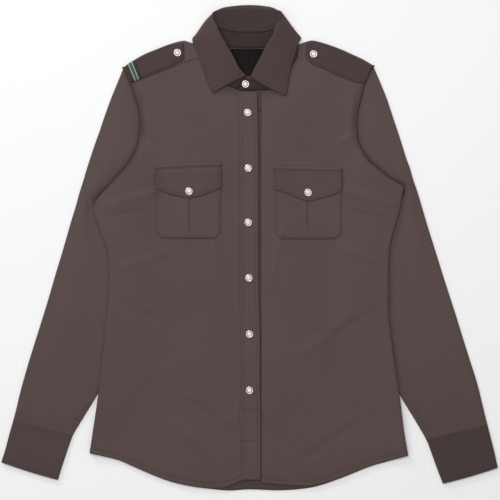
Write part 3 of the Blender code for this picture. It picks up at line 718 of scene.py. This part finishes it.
# The two cuffs. Stiffer double bands of the cotton round the sleeves' ends, topstitched at both
# edges.
CUFF_HEIGHT = 3.8
CUFF_RIGHT = (
    (-387.3, -282, -290.3, -307, 0), (-394, -305, -299, -332, 1),
    (-400, -328, -307, -356, 2), (-407, -350, -314, -379, 3),
)
CUFF_LEFT = (
    (390.3, -290, 290.6, -314, 0), (396, -312, 299, -337, 1),
    (402, -336, 308, -362, 2), (407, -359, 317, -385, 3),
)


def make_cuff(name, sections, node, finish):
    """One cuff as a flat tube from its rows."""
    def place(over, down):
        top, across = around(over)
        outer_x, outer_y, inner_x, inner_y, dip = section(sections, down * 3)
        width = math.hypot(outer_x - inner_x, outer_y - inner_y)
        x, y = mix((outer_x, outer_y), (inner_x, inner_y), across)
        y -= dip * 0.4 * math.sin(math.pi * across)
        edge = min(across, 1.0 - across) * width
        roll = rounded(edge, 3.6)
        half = CUFF_HEIGHT / 2
        tone = 0.0
        along = min(down, 1.0 - down) * 75.0
        if top:
            height = half + roll * half + 0.25 * roll * ripple(x, y, 2.0)
            height -= (0.35 * seam_dip(along, 1.2) + 0.16 * seam_dip(along - 5.5, 1.0)) * roll
            # Painted shade at the stitch lines, along the edges, and where the sleeve goes in.
            tone -= 0.12 * seam_dip(along - 5.5, 1.1) + 0.12 * seam_dip(across * width, 3.0)
            tone -= 0.22 * seam_dip(down * 75.0, 2.0)
        else:
            height = half - roll * half + 0.02
        return x, y, height, 1.0 + tone

    piece = cloth_piece(name, [((104, 40), place, lambda over, down: over < 0.5)], finish, 0.9, [node])
    return piece


# Both cuffs are given darker copies of the cotton, the left one darker than the right: painted shade.
cuff_cotton_painted_shade = {
    -1: cotton("taupe_cuff_cotton_right", (0.0690, 0.0430, 0.0420), turn=math.radians(15)),
    1: cotton("taupe_cuff_cotton_left", (0.0555, 0.0340, 0.0340), turn=math.radians(-14)),
}
make_cuff("cuff_band_right", CUFF_RIGHT, "cuff_right", cuff_cotton_painted_shade[-1])
make_cuff("cuff_band_left", CUFF_LEFT, "cuff_left", cuff_cotton_painted_shade[1])

# The collar. A band of doubled cotton is sewn round the neckline, and the fall is sewn to its top
# and turns over it. The two leaves lie on the fronts, and the back stands open and shows inside.
# Rows along the collar: neck, roll, turn and edge points, the band seam's share, share of half turn.
COLLAR = (
    (-20.5, 262, 3.3, -6, 284, 9.5, -34, 269, 8.2, -60, 254, 5.6, 0.84, 0),
    (-34, 267, 3.3, -17, 296, 12.5, -44, 283, 9.8, -68, 271, 5.8, 0.80, 0),
    (-52, 279, 3.3, -26, 314, 15.0, -52, 301, 11.5, -75, 291, 5.8, 0.78, 0),
    (-66, 296, 3.6, -37, 333, 17.0, -61, 320, 12.5, -81, 309, 5.9, 0.76, 0),
    (-75, 314, 4.0, -46, 349, 18.0, -68, 336, 13.0, -86, 325, 6.8, 0.72, 0.1),
    (-79, 328, 4.4, -54, 366, 17.5, -78, 350, 11.5, -93, 338, 6.2, 0.66, 0.35),
    (-72, 337, 4.0, -60, 381, 15.0, -82, 356, 7.5, -92, 347, 3.4, 0.58, 0.6),
    (-56, 335, 3.0, -58, 388, 12.0, -74, 371, 3.6, -78, 357, 0.0, 0.52, 0.85),
    (-40, 332, 2.5, -46, 392, 9.5, -50, 388, 2.6, -50, 354, 0.0, 0.44, 1),
    (-20, 330, 2.4, -23, 394, 7.4, -24, 393, 2.2, -24, 351, 0.0, 0.39, 1),
    (0, 329.3, 2.4, -1, 394.6, 7.0, -1, 394.2, 2.0, -1, 350, 0.0, 0.38, 1),
    (20, 330, 2.4, 21, 394, 7.4, 22, 393, 2.2, 22, 351, 0.0, 0.39, 1),
    (40, 332, 2.5, 40, 392, 9.5, 44, 388, 2.6, 46, 354, 0.0, 0.44, 1),
    (56, 335, 3.0, 52, 388, 12.0, 66, 369, 3.6, 70, 357, 0.0, 0.52, 0.85),
    (72, 337, 4.0, 50, 380, 15.0, 73, 357, 7.5, 84, 347, 3.4, 0.58, 0.6),
    (79, 328, 4.4, 44, 366, 17.5, 66, 350, 11.5, 81, 338, 7.2, 0.66, 0.35),
    (77, 314, 4.0, 37, 348, 18.0, 60, 334, 13.0, 76, 322, 7.3, 0.72, 0.1),
    (68, 296, 3.6, 27, 331, 17.0, 50, 315, 12.5, 70, 304, 6.9, 0.76, 0),
    (56, 279, 3.3, 17, 312, 15.0, 42, 296, 11.5, 66, 284, 5.8, 0.78, 0),
    (42, 267, 3.3, 8, 295, 12.5, 36, 278, 9.8, 63, 266, 5.8, 0.80, 0),
    (26, 261, 3.3, 1, 281, 10.5, 30, 264, 8.6, 60, 250, 5.8, 0.84, 0),
)
ROLL_RADIUS = 1.6
NECK_CENTRE = (0.0, 340.0)
BAND_END = ((-19.0, 259.5, 3.6), (-9.5, 279.3, 4.8))
COLLAR_CLOTH = 0.9
INSIDE_SHADE = 0.33


def collar_frame(position):
    """The points and directions of one section of the collar."""
    row = section(COLLAR, position)
    neck, roll, turn, edge = (Vector(row[start:start + 3]) for start in (0, 3, 6, 9))
    half_turn = min(1.0, max(0.0, row[13]))
    forward = Vector((roll.x - neck.x, roll.y - neck.y, 0.0)).normalized()
    inward = Vector((NECK_CENTRE[0] - roll.x, NECK_CENTRE[1] - roll.y, 0.0)).normalized()
    centre = roll - forward * ROLL_RADIUS - Vector((0.0, 0.0, ROLL_RADIUS))
    swing = inward * math.sin(math.pi * half_turn)
    swing.z = -math.cos(math.pi * half_turn)
    before = centre + swing * ROLL_RADIUS
    return neck, before, centre, swing, forward, turn, edge, neck.lerp(before, row[12])


def band_place(over, down):
    position = over * 21.0
    if position > 20.0:
        start = collar_frame(20.0)
        low = start[0].lerp(Vector(BAND_END[0]), position - 20.0)
        high = start[7].lerp(Vector(BAND_END[1]), position - 20.0)
    else:
        start = collar_frame(position)
        low, high = start[0], start[7]
    point = low.lerp(high, down)
    height = (high - low).length
    # Painted shade along both seams of the band.
    tone = 1.0 - 0.16 * seam_dip((1.0 - down) * height, 2.0) - 0.16 * seam_dip(down * height, 5.0)
    return point.x, point.y, point.z, tone


def fall_place(over, down):
    position = over * 20.0
    neck, before, centre, swing, forward, turn, edge, seam = collar_frame(position)
    start = seam + (before - seam).normalized() * 0.3
    after = centre - swing * ROLL_RADIUS
    stand = (before - start).length
    fall = (turn - after).length + (edge - turn).length
    tone = 0.0
    if down < 0.25:
        point = start.lerp(before, down / 0.25)
        # Painted shade: the seam at the stand's foot and the stand's inside are darkened.
        tone -= 0.18 * seam_dip(down / 0.25 * stand, 2.0)
        tone -= INSIDE_SHADE
        side_share = 0.0
    elif down < 0.45:
        angle = (down - 0.25) / 0.20 * math.pi
        point = centre + swing * ROLL_RADIUS * math.cos(angle) + forward * ROLL_RADIUS * math.sin(angle)
        tone -= INSIDE_SHADE * (0.45 - down) / 0.20
        side_share = 0.0
    else:
        way = (down - 0.45) / 0.55
        bend = turn * 2.0 - after * 0.5 - edge * 0.5
        point = after.lerp(bend, way).lerp(bend.lerp(edge, way), way)
        side_share = way
        to_edge = (1.0 - way) * fall
        end_distance = min(position, 20.0 - position) * 15.0
        near = min(to_edge, end_distance)
        groove = seam_dip(near - 5.5, 1.0)
        leaf = 1.0 - min(1.0, max(0.0, abs(swing.x) + abs(swing.y)))
        point.z -= (0.16 * groove + 0.30 * seam_dip(near, 1.2)) * leaf
        # Painted shade in the stitch groove and along the leaf's edge.
        tone -= 0.13 * groove + 0.12 * seam_dip(near, 1.0)
    point.z += 0.3 * ripple(point.x, point.y, 6.0) * side_share * (1.0 if swing.z < 0 else 0.0)
    return point.x, point.y, max(0.95 if swing.z > 0.9 else 0.0, point.z), 1.0 + tone


collar_cotton = cotton("taupe_collar_cotton", (0.0640, 0.0380, 0.0375), turn=0.4)
# The band is given a far darker copy of the cotton: painted shade of the neck's hollow.
band_cotton_painted_shade = cotton("taupe_band_cotton", (0.0330, 0.0160, 0.0155), turn=0.2)
collar_band = cloth_piece("collar_band_cloth",
                          [((170, 14), band_place, lambda over, down: 0.4 < over < 0.6)],
                          band_cotton_painted_shade, COLLAR_CLOTH, ["collar_band"])
collar_fall = cloth_piece("collar_fall_cloth",
                          [((170, 60), fall_place, lambda over, down: over < 0.1 and down > 0.6)],
                          collar_cotton, COLLAR_CLOTH, ["collar_fall"])

# The two breast pockets. Squares of cotton with cut lower corners, sewn on at the sides and bottom.
# Each has an inverted pleat down its middle, held by a short bar of stitches.
POCKETS = {
    "right": (-153, 120, 106, 103, 9, -98.7, 38.0),
    "left": (42.5, 119, 108, 103, 9, 95.0, 45.0),
}
POCKET_CLOTH = 0.9


def pocket_x(pocket, over, y):
    """Where a pocket's width puts a point, inside its cut corners."""
    left_x, top_y, width, height, cut = pocket[:5]
    pinch = max(0.0, cut - (y - (top_y - height)))
    return left_x + pinch + (width - 2 * pinch) * over


def pocket_face(pocket, x, y, edge):
    """Height of a pocket's upper side, and its painted shade: dark in the pleat's groove and along the
    sewn edges, darkest along the bottom.
    """
    left_x, top_y, width, tall, cut, pleat_x, bar_y = pocket
    height, tone = on_front(x, y)
    shut = 0.25 + 0.75 * ease((y - bar_y + 14.0) / 16.0)
    low = seam_dip(x - pleat_x, 1.4) * shut
    height += POCKET_CLOTH - 0.65 * low + 0.25 * seam_dip(x - pleat_x - 3.4, 1.6)
    height += 0.30 * seam_dip(x - pleat_x, 14.0)
    # Painted shade in the pleat's groove.
    tone -= 0.38 * low
    # Painted shadow along the sewn edges, strongest at the bottom.
    lower_edge_shadow = ease((top_y - tall + 14.0 - y) / 12.0)
    height -= 0.45 * seam_dip(edge, 1.5) + 0.16 * seam_dip(edge - 3.2, 0.9)
    tone -= (0.08 + 0.20 * lower_edge_shadow) * seam_dip(edge, 1.6) + 0.05 * seam_dip(edge - 3.2, 1.0)
    return height, tone


for pocket_side, pocket in POCKETS.items():
    def pocket_place(over, down):
        left_x, top_y, width, tall, cut = pocket[:5]
        y = top_y - tall * down
        x = pocket_x(pocket, over, y)
        edge = min(over * width, (1.0 - over) * width, (1.0 - down) * tall)
        height, tone = pocket_face(pocket, x, y, edge)
        return x, y, height, 1.0 + tone

    pocket_piece = cloth_piece("pocket_cloth_" + pocket_side, [((96, 84), pocket_place, everywhere)],
                               body_cotton, 0.8, ["pocket_" + pocket_side])

# The two pocket flaps. Pointed flaps of doubled cotton, sewn on above the pockets, turned down over
# them and stitched again along the top, which leaves a raised ridge. A snap holds each point.
# Rows across a flap: x, top y, bottom y.
FLAPS = {
    "right": (
        (-154.5, 137, 98), (-147, 138, 96), (-130, 139, 89), (-114, 140, 85.5), (-98.5, 141, 82),
        (-82, 141.5, 86), (-67, 142, 91.5), (-53, 142, 97), (-46, 142, 101),
    ),
    "left": (
        (40, 136, 97), (47, 136, 95), (62, 136, 90), (80, 135.5, 82), (98.5, 135.5, 77),
        (116, 135, 82.5), (132, 135, 86.5), (145, 135, 91), (151, 135, 98),
    ),
}
FLAP_CLOTH = 0.9
FLAP_SEAM_Y = 134.0
FLAP_DROP = 10.0


def flap_seat(x, y):
    """Height at which a flap's underside lies, and the painted shading of the front's folds there."""
    height, tone = on_front(x, y)
    climb = ease((FLAP_SEAM_Y - y) / FLAP_DROP)
    return height + (CLOTH + PLY_GAP + 0.5 * min(1.0, 8.0 * rise(x, y)) + 0.25) * climb, tone


def flap_face(x, y, to_top, edge):
    """Height of a flap's upper side, and its painted shading: shadow under the ridge, along the edges and
    in the stitch line, and a highlight on the ridge.
    """
    height, tone = flap_seat(x, y)
    height += FLAP_CLOTH + 0.55 * ease((6.0 - to_top) / 2.0) * ease(to_top / 1.2)
    height -= 0.45 * seam_dip(edge, 1.2) + 0.16 * seam_dip(edge - 5.0, 0.9)
    # Painted shadow and painted highlight, as listed above.
    tone -= 0.07 * seam_dip(edge - 5.0, 1.3) + 0.26 * seam_dip(to_top - 7.0, 2.0)
    tone -= 0.30 * seam_dip(edge, 1.5) * ease(to_top / 8.0)
    tone += 0.20 * seam_dip(to_top - 3.0, 1.7)
    return height, tone


flap_edges = {}
for flap_side, rows in FLAPS.items():
    flap_top = smooth_path([(x, top) for x, top, bottom in rows])
    flap_bottom = smooth_path([(x, bottom) for x, top, bottom in rows[:5]],
                              [(x, bottom) for x, top, bottom in rows[4:]])
    flap_edges[flap_side] = (flap_top, flap_bottom)

    def flap_place(over, down):
        x, y = mix(flap_top(over), flap_bottom(over), down)
        tall = flap_top(over)[1] - flap_bottom(over)[1]
        edge = min(over * 109.0, (1.0 - over) * 109.0, (1.0 - down) * tall)
        height, tone = flap_face(x, y, down * tall, edge)
        return x, y, height, 0.88 + tone

    flap_piece = cloth_piece("flap_cloth_" + flap_side, [((110, 52), flap_place, everywhere)],
                             body_cotton, 0.8, ["flap_" + flap_side])
    "pocket_" + flap_side

# The two epaulettes. Straps of doubled cotton set into the armhole seams, topstitched all round
# and held by a snap near the collar. Rows from the sleeve to the tip: lower x, y, upper x, y.
EPAULETTES = {
    "right": (
        (-195, 273, -206, 297), (-177, 279, -192, 306), (-158, 287, -172, 318),
        (-141, 294, -151, 327), (-125, 301, -130, 335), (-107, 311, -108, 337),
    ),
    "left": (
        (188.5, 272, 202, 300), (175, 272, 186, 309), (157, 279, 169, 317),
        (137, 287, 147, 327), (118, 296, 126, 335), (101, 303, 106, 340), (92, 317, 93, 337),
    ),
}
EPAULETTE_CLOTH = 1.2


def epaulette_seat(x, y):
    """Height at which an epaulette lies on the yoke."""
    return YOKE_HEIGHT + 0.2 + PLY_GAP + 0.2 * ripple(x, y, 9.0)


epaulette_cotton = cotton("taupe_epaulette_cotton", (0.0570, 0.0335, 0.0320), turn=0.5)
epaulette_edges = {}
for strap_side, rows in EPAULETTES.items():
    strap_low = smooth_path([row[:2] for row in rows])
    strap_high = smooth_path([row[2:] for row in rows])
    epaulette_edges[strap_side] = (strap_low, strap_high)

    def epaulette_place(over, down):
        low, high = strap_low(over), strap_high(over)
        x, y = mix(low, high, down)
        edge = min(min(down, 1.0 - down) * math.dist(low, high), (1.0 - over) * strap_low.length)
        height = epaulette_seat(x, y) + EPAULETTE_CLOTH + 0.4 * rounded(edge, 12.0)
        height -= 0.5 * seam_dip(edge, 1.3) + 0.18 * seam_dip(edge - 4.5, 0.9)
        # Painted shade along the edges and the stitch lines.
        tone = 1.0 - 0.14 * seam_dip(edge - 4.5, 1.1) - 0.12 * seam_dip(edge, 1.0)
        return x, y, height, tone

    strap = cloth_piece("epaulette_cloth_" + strap_side, [((90, 34), epaulette_place, everywhere)],
                        epaulette_cotton, 1.0, ["epaulette_" + strap_side])

# The ribbon on the right epaulette. A narrow ribbed band sewn round the strap near the sleeve, with
# one muted green stripe between two pale lines on a dark ground.
RIBBON_FROM = 0.03
RIBBON_TO = 0.20


def ribbon_place(over, down):
    along = RIBBON_FROM + (RIBBON_TO - RIBBON_FROM) * over
    low, high = epaulette_edges["right"][0](along), epaulette_edges["right"][1](along)
    x, y = mix(low, high, -0.01 + 1.02 * down)
    edge = min(down, 1.0 - down) * 26.0
    height = epaulette_seat(x, y) + EPAULETTE_CLOTH + PLY_GAP + 0.55
    height += 0.4 * rounded(edge, 12.0) - 0.5 * seam_dip(edge, 1.5)
    return x, y, height, 1.0


ribbon_finish = bpy.data.materials.new("ribbed_ribbon")
ribbon_finish.use_nodes = True
ribbon_shader = ribbon_finish.node_tree.nodes["Principled BSDF"]
ribbon_wire = Wire(ribbon_finish.node_tree)
ribbon_share = ribbon_wire.node("ShaderNodeUVMap", {"uv_map": "shares"}, {}, "UV")
ribbon_across = ribbon_wire.node("ShaderNodeSeparateXYZ", {}, {"Vector": ribbon_share}, "X")
ribbon_along = ribbon_wire.node("ShaderNodeSeparateXYZ", {}, {"Vector": ribbon_share}, "Y")
DARK_GROUND = (0.012, 0.013, 0.016)
PALE_LINE = (0.36, 0.38, 0.37)
MUTED_GREEN = (0.040, 0.085, 0.055)
ribbon_colour = ribbon_wire.node(
    "ShaderNodeValToRGB",
    {"stops": ((0.0, DARK_GROUND), (0.26, DARK_GROUND), (0.28, PALE_LINE), (0.36, PALE_LINE),
               (0.38, MUTED_GREEN), (0.62, MUTED_GREEN), (0.64, PALE_LINE), (0.72, PALE_LINE),
               (0.74, DARK_GROUND))},
    {"Fac": ribbon_across}, "Color")
ribbon_ribs = ribbon_wire.node("ShaderNodeMath", {"operation": "SINE"}, {0: ribbon_along * 420.0}, 0)
ribbon_shade = ribbon_wire.node("ShaderNodeVectorMath", {"operation": "SCALE"},
                                {0: ribbon_colour, "Scale": 0.9 + 0.12 * ribbon_ribs}, "Vector")
ribbon_finish.node_tree.links.new(ribbon_shade.socket, ribbon_shader.inputs["Base Color"])
ribbon_bump = ribbon_wire.node("ShaderNodeBump", {},
                               {"Height": ribbon_ribs, "Strength": 0.5, "Distance": 0.0001}, "Normal")
ribbon_finish.node_tree.links.new(ribbon_bump.socket, ribbon_shader.inputs["Normal"])
ribbon_shader.inputs["Roughness"].default_value = 0.6
ribbon = cloth_piece("epaulette_ribbon", [((36, 30), ribbon_place, everywhere)], ribbon_finish, 0.5,
                     ["epaulette_band"])

# The neck label. A bare black woven strip with its ends turned in, and a bare tab below it, sewn
# inside the back of the neck.
LABEL_LEFT_X = -32.0
LABEL_RIGHT_X = 23.0
LABEL_TOP_Y = 327.5
LABEL_LOW_Y = 284.0


def label_place(over, down):
    x = LABEL_LEFT_X + (LABEL_RIGHT_X - LABEL_LEFT_X) * over
    y = LABEL_TOP_Y - (LABEL_TOP_Y - LABEL_LOW_Y) * down
    to_top = down * 43.5
    height = CLOTH + PLY_GAP + 0.5 + 0.7 * ease((10.0 - to_top) / 1.0) + 0.15 * ripple(x, y, 1.0)
    edge = min(over, 1.0 - over) * 55.0
    height -= 0.2 * seam_dip(edge, 1.0)
    return x, y, height, 1.3 - 0.6 * ease((10.0 - to_top) / 1.0)


label_finish = cotton("black_label_weave", (0.0045, 0.0022, 0.0020), sheen=0.0, rough=0.85)
label = cloth_piece("neck_label_weave", [((50, 44), label_place, everywhere)], label_finish, 0.4,
                    ["neck_label"])

# The stitches. Rows of short threads, a shade darker than the cloth, run beside every edge that is
# sewn down or turned in. Each thread is a small rounded bar that lies on the cloth.
STITCH_PITCH = 3.0
STITCH_LENGTH = 2.1
STITCH_WIDTH = 0.45


def sew(name, lines, height_at, finish):
    """Rows of threads along lines of points, on a surface whose height is known."""
    shape = bmesh.new()
    tone_and_shading_layer = shape.verts.layers.float.new("tone")
    for points in lines:
        line = smooth_path(points)
        count = int(line.length / STITCH_PITCH)
        for index in range(count):
            share = (index + 0.5) / count
            reach = 0.5 * STITCH_LENGTH / line.length
            first, second = line(share - reach), line(share + reach)
            start = Vector((*first, height_at(*first)))
            end = Vector((*second, height_at(*second)))
            middle = (start + end) * 0.5
            middle.z += 0.12
            turn = (end - start).to_track_quat("X", "Z").to_matrix().to_4x4()
            size = Matrix.Diagonal((STITCH_LENGTH * MM, STITCH_WIDTH * MM, 0.3 * MM, 1.0))
            bmesh.ops.create_cube(shape, size=1.0, matrix=Matrix.Translation(middle * MM) @ turn @ size)
    for vert in shape.verts:
        vert[tone_and_shading_layer] = 0.72
    mesh = bpy.data.meshes.new(name)
    shape.to_mesh(mesh)
    shape.free()
    mesh.materials.append(finish)
    piece = bpy.data.objects.new(name, mesh)
    bpy.context.scene.collection.objects.link(piece)
    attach(piece, "root")
    return piece


thread = cotton("taupe_thread", TAUPE, sheen=0.2, rough=0.5)
placket_ys = [257 - 22 * step for step in range(29)]


def placket_edge_x(y, column):
    """The placket's edge at one height: column 1 is the free edge, 2 the seam."""
    for upper, lower in zip(PLACKET, PLACKET[1:]):
        if y >= lower[0]:
            share = (upper[0] - y) / (upper[0] - lower[0])
            return upper[column] + (lower[column] - upper[column]) * share
    return PLACKET[-1][column]


sew("placket_stitches",
    [[(placket_edge_x(y, 1) + 5.0, y) for y in placket_ys],
     [(placket_edge_x(y, 2) - 5.0, y) for y in placket_ys]],
    lambda x, y: on_front(x, y)[0] + PLACKET_CLOTH - 0.16, thread)

for pocket_side, pocket in POCKETS.items():
    left_x, top_y, width, tall, cut, pleat_x, bar_y = pocket
    low_y = top_y - tall
    inset = 3.2
    pocket_lines = [
        [(left_x + inset, top_y - 30), (left_x + inset, low_y + cut + 1)],
        [(left_x + inset, low_y + cut + 1), (left_x + cut + 1, low_y + inset)],
        [(left_x + cut + 1, low_y + inset), (left_x + width - cut - 1, low_y + inset)],
        [(left_x + width - cut - 1, low_y + inset), (left_x + width - inset, low_y + cut + 1)],
        [(left_x + width - inset, low_y + cut + 1), (left_x + width - inset, top_y - 30)],
        [(pleat_x - 3.0, bar_y), (pleat_x + 3.0, bar_y)],
        [(pleat_x - 3.0, bar_y - 0.8), (pleat_x + 3.0, bar_y - 0.8)],
    ]
    sew("pocket_stitches_" + pocket_side, pocket_lines,
        lambda x, y: on_front(x, y)[0] + POCKET_CLOTH + 0.05, thread)

for flap_side, (flap_top, flap_bottom) in flap_edges.items():
    def flap_line(first, last, lift):
        return [(flap_bottom(first + (last - first) * step / 8)[0],
                 flap_bottom(first + (last - first) * step / 8)[1] + lift) for step in range(9)]

    ends = (flap_top(0.0), flap_top(1.0), flap_bottom(0.0), flap_bottom(1.0))
    flap_lines = [
        flap_line(0.05, 0.5, 5.2), flap_line(0.5, 0.95, 5.2),
        [(ends[0][0] + 5, ends[0][1] - 8), (ends[2][0] + 5, ends[2][1] + 5)],
        [(ends[1][0] - 5, ends[1][1] - 8), (ends[3][0] - 5, ends[3][1] + 5)],
        [(flap_top(0.02 + 0.96 * step / 6)[0], flap_top(0.02 + 0.96 * step / 6)[1] - 6.6)
         for step in range(7)],
    ]
    sew("flap_stitches_" + flap_side, flap_lines,
        lambda x, y: flap_seat(x, y)[0] + FLAP_CLOTH - 0.14, thread)

for strap_side, (strap_low, strap_high) in epaulette_edges.items():
    def strap_line(first_share, second_share, start, end):
        line = []
        for step in range(9):
            along = start + (end - start) * step / 8
            low, high = strap_low(along), strap_high(along)
            across = first_share + (second_share - first_share) * step / 8
            line.append(mix(low, high, across))
        return line

    strap_lines = [strap_line(0.17, 0.17, 0.02, 0.95), strap_line(0.83, 0.83, 0.02, 0.95),
                   strap_line(0.17, 0.83, 0.95, 0.955)]
    sew("epaulette_stitches_" + strap_side, strap_lines,
        lambda x, y: epaulette_seat(x, y) + EPAULETTE_CLOTH + 0.22, thread)

for hem_side, hem in (("right", HEM_RIGHT), ("left", HEM_LEFT)):
    sew("hem_stitches_" + hem_side, [[(x, y + 8.0) for x, y in hem[1:-1]]],
        lambda x, y: front_face(x, y)[0] - 0.16, thread)

for cuff_side, rows in (("right", CUFF_RIGHT), ("left", CUFF_LEFT)):
    cuff_lines = []
    for position in (0.22, 2.78):
        outer_x, outer_y, inner_x, inner_y, dip = section(rows, position)
        ends = ((outer_x, outer_y), (inner_x, inner_y))
        cuff_lines.append([
            (mix(*ends, share)[0], mix(*ends, share)[1] - dip * 0.4 * math.sin(math.pi * share))
            for share in (0.04, 0.2, 0.4, 0.6, 0.8, 0.96)])
    sew("cuff_stitches_" + cuff_side, cuff_lines, lambda x, y: CUFF_HEIGHT + 0.02, thread)

# The snaps. Pressed metal rings, bright and slightly worn, each round a domed cap of white pearl.
# Six run down the placket, and one holds the band, each flap and each epaulette.
BAND_SNAP = (-6.5, 269.5, 6.7)
FLAP_SNAPS = (("right", (-99, 94)), ("left", (96, 92)))
EPAULETTE_SNAPS = (("right", (-118, 321)), ("left", (105, 319)))
FRONT_SNAPS = ((-3, 223), (-2, 132), (-2, 43), (-1, -48), (0, -140), (0, -232))


def snap_metal():
    """Bright nickel with fine scratches."""
    finish = bpy.data.materials.new("snap_nickel")
    finish.use_nodes = True
    shader = finish.node_tree.nodes["Principled BSDF"]
    wire = Wire(finish.node_tree)
    place = wire.node("ShaderNodeTexCoord", {}, {}, "Object")
    scratch = wire.node("ShaderNodeTexNoise", {}, {"Vector": place, "Scale": 900.0, "Detail": 4.0},
                        "Fac")
    rough = 0.22 + 0.22 * scratch
    finish.node_tree.links.new(rough.socket, shader.inputs["Roughness"])
    shader.inputs["Base Color"].default_value = (0.80, 0.76, 0.74, 1.0)
    shader.inputs["Metallic"].default_value = 1.0
    return finish


def snap_pearl():
    """White pearl with faint pink and grey clouds under a clear coat."""
    finish = bpy.data.materials.new("snap_pearl_cap")
    finish.use_nodes = True
    shader = finish.node_tree.nodes["Principled BSDF"]
    wire = Wire(finish.node_tree)
    place = wire.node("ShaderNodeTexCoord", {}, {}, "Object")
    clouds = wire.node("ShaderNodeTexNoise", {},
                       {"Vector": place, "Scale": 210.0, "Detail": 3.0, "Distortion": 1.4}, "Fac")
    colour = wire.node("ShaderNodeValToRGB",
                       {"stops": ((0.3, (0.62, 0.55, 0.55)), (0.5, (0.86, 0.80, 0.80)),
                                  (0.7, (0.93, 0.91, 0.90)))}, {"Fac": clouds}, "Color")
    finish.node_tree.links.new(colour.socket, shader.inputs["Base Color"])
    shader.inputs["Roughness"].default_value = 0.22
    shader.inputs["Coat Weight"].default_value = 0.6
    shader.inputs["Coat Roughness"].default_value = 0.08
    return finish


def turned(name, profile, spot, finish, node):
    """A round piece turned from its profile of distances and heights, standing at its spot."""
    shape = bmesh.new()
    verts = [shape.verts.new((away * MM, 0.0, up * MM)) for away, up in profile]
    edges = [shape.edges.new(pair) for pair in zip(verts, verts[1:])]
    bmesh.ops.spin(shape, geom=verts + edges, cent=(0, 0, 0), axis=(0, 0, 1), angle=math.tau,
                   steps=40, use_merge=True)
    bmesh.ops.remove_doubles(shape, verts=shape.verts, dist=1e-6)
    bmesh.ops.recalc_face_normals(shape, faces=shape.faces)
    bmesh.ops.translate(shape, vec=Vector(spot) * MM, verts=shape.verts)
    mesh = bpy.data.meshes.new(name)
    shape.to_mesh(mesh)
    shape.free()
    mesh.shade_smooth()
    mesh.materials.append(finish)
    piece = bpy.data.objects.new(name, mesh)
    bpy.context.scene.collection.objects.link(piece)
    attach(piece, "root")
    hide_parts(node)
    return piece


RING_PROFILE = (
    (0.0, 0.0), (5.3, 0.0), (5.9, 0.15), (6.2, 0.6), (6.2, 1.0), (5.9, 1.5), (5.3, 1.8),
    (4.8, 1.7), (4.4, 1.3), (4.2, 0.6), (0.0, 0.6),
)
CAP_PROFILE = (
    (0.0, 0.65), (3.5, 0.65), (3.6, 1.2), (3.4, 1.6), (2.9, 1.95), (2.1, 2.2), (1.1, 2.36),
    (0.0, 2.4),
)
nickel = snap_metal()
pearl = snap_pearl()
snap_spots = {}
for index, (x, y) in enumerate(FRONT_SNAPS):
    snap_spots["snap_front_%d" % (index + 1)] = (x, y, on_front(x, y)[0] + PLACKET_CLOTH + 0.05)
snap_spots["snap_band"] = BAND_SNAP
for snap_side, (x, y) in FLAP_SNAPS:
    snap_spots["snap_flap_" + snap_side] = (x, y, flap_seat(x, y)[0] + FLAP_CLOTH + 0.02)
for snap_side, (x, y) in EPAULETTE_SNAPS:
    snap_spots["snap_epaulette_" + snap_side] = (
        x, y, epaulette_seat(x, y) + EPAULETTE_CLOTH + 0.42)
for snap_name, spot in snap_spots.items():
    turned(snap_name + "_ring", RING_PROFILE, spot, nickel, snap_name)
    turned(snap_name + "_cap", CAP_PROFILE, spot, pearl, snap_name)

# The stage. A plain near-white floor under the shirt, broad soft lamps above it, and the camera
# straight overhead, as in the photo.
floor_shape = bmesh.new()
bmesh.ops.create_grid(floor_shape, x_segments=1, y_segments=1, size=4.0,
                      matrix=Matrix.Translation((0.0, 0.0, -0.0006)))
floor_mesh = bpy.data.meshes.new("floor")
floor_shape.to_mesh(floor_mesh)
floor_shape.free()
floor = bpy.data.objects.new("floor", floor_mesh)
bpy.context.scene.collection.objects.link(floor)
FLOOR_WHITE = (0.98, 0.98, 0.98, 1)
FLOOR_ROUGHNESS = 0.9
floor_finish = bpy.data.materials.new("pale_floor")
floor_finish.use_nodes = True
floor_shader = floor_finish.node_tree.nodes["Principled BSDF"]
floor_shader.inputs["Base Color"].default_value = FLOOR_WHITE
floor_shader.inputs["Roughness"].default_value = FLOOR_ROUGHNESS
floor_mesh.materials.append(floor_finish)


def lamp(name, place, aim, size, watts):
    """A broad soft lamp turned towards its aim."""
    data = bpy.data.lights.new(name, "AREA")
    data.shape = "DISK"
    data.size = size
    data.energy = watts
    piece = bpy.data.objects.new(name, data)
    piece.location = place
    piece.rotation_euler = (Vector(aim) - Vector(place)).to_track_quat("-Z", "Y").to_euler()
    bpy.context.scene.collection.objects.link(piece)


lamp("overhead_lamp", (-0.5, 0.9, 3.0), (0, 0, 0), 2.2, 46.0)
lamp("side_lamp", (-1.6, 2.6, 1.1), (0, 0, 0), 0.7, 30.0)
world = bpy.data.worlds.new("studio")
world.use_nodes = True
world.node_tree.nodes["Background"].inputs["Color"].default_value = (1.0, 1.0, 1.0, 1.0)
world.node_tree.nodes["Background"].inputs["Strength"].default_value = 0.45
bpy.context.scene.world = world
bpy.context.scene.view_settings.view_transform = "Standard"

camera_data = bpy.data.cameras.new("camera")
camera_data.sensor_width = 36.0
camera_data.lens = 36.0 * 4.0 / 0.820
camera_data.clip_end = 20.0
camera = bpy.data.objects.new("camera", camera_data)
camera.location = (0.00082, -0.00213, 4.0)
bpy.context.scene.collection.objects.link(camera)
bpy.context.scene.camera = camera
